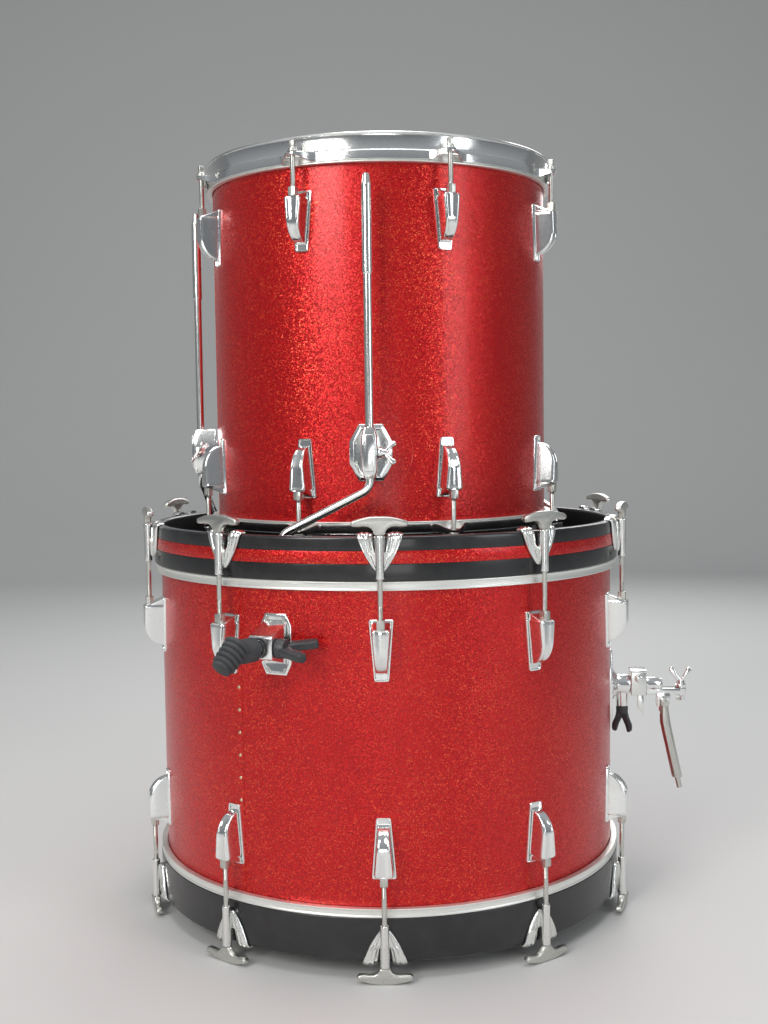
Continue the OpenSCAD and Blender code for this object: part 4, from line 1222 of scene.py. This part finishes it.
def holder_knob():
    wing = ribbed_wings([(2.4, -0.5), (4, 6.4), (14, 8.4), (24, 12.6), (30, 12.8), (33.4, 10), (33.4, 7),
                         (24, 4.4), (14, -0.5)],
                        [(5, 0), (6.8, 0.4), (7.4, 1.4), (7.4, 8), (6, 10.4), (3, 11)], 5.6,
                        [(31 - 3.2 * k, 10.4 - 0.9 * k) for k in range(4)])
    stem = mm(to_x(turned_bar([(3, -21.5), (3, 0.5)])))
    return in_mm((wing + stem).turned(90, "Y").turned(65)).moved(y=-HOLDER_KNOB_R, z=-27.3)


def holder_post():
    return outwards(turned_bar([(3.8, 0), (4.9, 1.2), (4.95, 94.8), (3.8, 96)], 36), 243.4)


for name, body, shape, look in (
        ("holder_base", "bass_drum", holder_base(), "chrome"),
        ("holder_collar", "holder_post", holder_collar(), "cast chrome"),
        ("holder_post", "holder_post", holder_post(), "nickel rod"),
        ("holder_head", "holder_head", holder_head(), "chrome"),
        ("holder_arm", "holder_arm", holder_arm(), "nickel rod"),
        ("holder_wing_screw", "holder_wing_screw", holder_wing(), "chrome"),
        ("holder_knob", "holder_knob", holder_knob(), "black nylon")):
    piece(f"{name}_detailed", at_holder(shape), body, look, [name], 38)

# %% [markdown]
# ## Seams, tacks and head rings
# The wrap overlaps itself on each shell. The upper layer's edge stands a fraction of a millimetre
# proud, and a row of small domed tacks holds it. The head rings are drawn channels: a flat face with a
# rolled edge on either side.

# %% Seams, tacks and head rings
LAP = 0.3            # how far the lap stands proud
LAP_DEGREES = 3.2
LAP_SHORT = 1.5      # from each end of the shell
TACK_STEP = {"bass": 25.0, "tom": 28.0}
TACK_R = 2.0


def lap(r, az, z0, z1):
    angles = np.radians(np.linspace(az - LAP_DEGREES, az + 0.9, 12))
    section = [(r - 0.4, angles[0]), *[(r + LAP, a) for a in angles], (r - 0.4, angles[-1])]
    return capped([[(rr * math.sin(a), -rr * math.cos(a), z) for rr, a in section] for z in (z0, z1)],
                  close_columns=True)


def tacks(r, az, heights):
    dome = screw_head(TACK_R - 0.1, 0.75)
    return joined(outwards(dome, r + 0.2).moved(z=z).turned(az) for z in heights)


def tack_heights(node, step):
    first, last = low(node)[2] / MM + TACK_R, high(node)[2] / MM - TACK_R
    return np.linspace(first, last, round((last - first) / step) + 1)


def channel(shell_r, edge_z, up):
    """A drawn ring from the shell's edge downwards (up = 1) or upwards (up = -1)."""
    inner, outer = shell_r + 0.85, shell_r + 7.75
    corners = [(inner, 0.5), (outer, 0.5, 1.1), (outer, -1.2, 0.5), (outer - 0.7, -2.0, 0.5),
               (outer - 0.7, -6.9, 0.5), (outer, -7.7, 0.5), (outer, -9.1, 1.0), (inner, -9.1)]
    profile = [(r * MM, edge_z + up * z * MM) for r, z in rounded(corners, 0.4, 3)]
    return lathe(profile, 256)


for drum, r, z0, z1, x in (("bass", BASS_R, BASS_Z0, BASS_Z1, 0.0), ("tom", TOM_R, TOM_Z0, TOM_Z1, TOM_X)):
    body = "bass_drum" if drum == "bass" else "floor_tom"
    az = SEAM_BASS if drum == "bass" else SEAM_TOM
    node = f"{drum}_seam_tacks"
    strip = mm(lap(r / MM, az, z0 / MM + LAP_SHORT, z1 / MM - LAP_SHORT))
    piece(f"{drum}_wrap_lap", strip.moved(x=x), body, "red sparkle wrap")
    row = mm(tacks(r / MM, az, tack_heights(node, TACK_STEP[drum])))
    piece(f"{drum}_tack_heads", row.moved(x=x), body, "brass", [node])
    ring = channel(r / MM, z1, 1) + channel(r / MM, z0, -1)
    piece(f"{drum}_drawn_rings", ring.moved(x=x), body, "drawn aluminium", [f"{drum}_head_rings"], 30)

# %% [markdown]
# ## Light and floor
# Soft studio light from five large areas, and a pale floor that curves up behind the drums.

# %% Light and floor
def area_light(name, place, aim, size, power, color=(1, 1, 1), shape="RECTANGLE", size_y=None):
    data = bpy.data.lights.new(name, "AREA")
    data.shape = shape
    data.size = size
    data.size_y = size_y or size
    data.energy = power
    data.color = color
    light = bpy.data.objects.new(name, data)
    light.location = place
    light.rotation_euler = (Vector(aim) - Vector(place)).to_track_quat("-Z", "Y").to_euler()
    bpy.context.scene.collection.objects.link(light)
    return light


area_light("key", (-1.7, -2.6, 2.0), (0, 0, 0.5), 1.2, 62, (1, 0.98, 0.95), size_y=1.7)
area_light("fill", (2.4, -2.0, 1.3), (0, 0, 0.45), 1.0, 20, (0.93, 0.97, 1), size_y=1.8)
area_light("top", (0.0, -0.2, 2.9), (0, 0, 0.4), 1.6, 34)
area_light("low", (0.1, -2.6, 0.35), (0, 0, 0.3), 0.9, 3, size_y=0.4)
area_light("back", (0.6, 2.4, 1.9), (0, 0, 0.6), 1.6, 26)

world = bpy.data.worlds.new("studio")
bpy.context.scene.world = world
world.use_nodes = True
sky = world.node_tree.nodes.new("ShaderNodeValToRGB")
sky.color_ramp.elements[0].position = 0.46
sky.color_ramp.elements[0].color = (0.34, 0.36, 0.39, 1)
sky.color_ramp.elements[1].position = 0.85
sky.color_ramp.elements[1].color = (0.86, 0.89, 0.93, 1)
direction = world.node_tree.nodes.new("ShaderNodeTexCoord")
height = world.node_tree.nodes.new("ShaderNodeSeparateXYZ")
half_up = world.node_tree.nodes.new("ShaderNodeMath")
half_up.operation = "MULTIPLY_ADD"
half_up.inputs[1].default_value = 0.5
half_up.inputs[2].default_value = 0.5
backdrop_light = world.node_tree.nodes["Background"]
for a, b in ((direction.outputs["Generated"], height.inputs[0]), (height.outputs["Z"], half_up.inputs[0]),
             (half_up.outputs[0], sky.inputs[0]), (sky.outputs[0], backdrop_light.inputs[0])):
    world.node_tree.links.new(a, b)
backdrop_light.inputs[1].default_value = 0.42
bpy.context.scene.view_settings.view_transform = "Standard"

# The floor runs back and curves up behind the drums, so no horizon shows
SWEEP_Y, SWEEP_R, SWEEP_TOP, SWEEP_HALF = 3.2, 1.2, 4.5, 9.0
sweep = [(-7.0, 0.0), (SWEEP_Y, 0.0)]
sweep += [(SWEEP_Y + SWEEP_R * math.sin(a), SWEEP_R * (1 - math.cos(a)))
          for a in np.linspace(0.1, math.pi / 2, 12)]
sweep += [(SWEEP_Y + SWEEP_R, SWEEP_TOP)]
floor_shape = grid([[(x, y, z) for x in (-SWEEP_HALF, SWEEP_HALF)] for y, z in sweep])
floor = bpy.data.objects.new("floor", build_mesh("floor", floor_shape, 60))
bpy.context.scene.collection.objects.link(floor)
floor_look = bpy.data.materials.new("pale floor")
floor_look.use_nodes = True
floor_shader = floor_look.node_tree.nodes["Principled BSDF"]
floor_shader.inputs["Base Color"].default_value = (0.60, 0.60, 0.59, 1)
floor_shader.inputs["Roughness"].default_value = 0.6
floor.data.materials.append(floor_look)
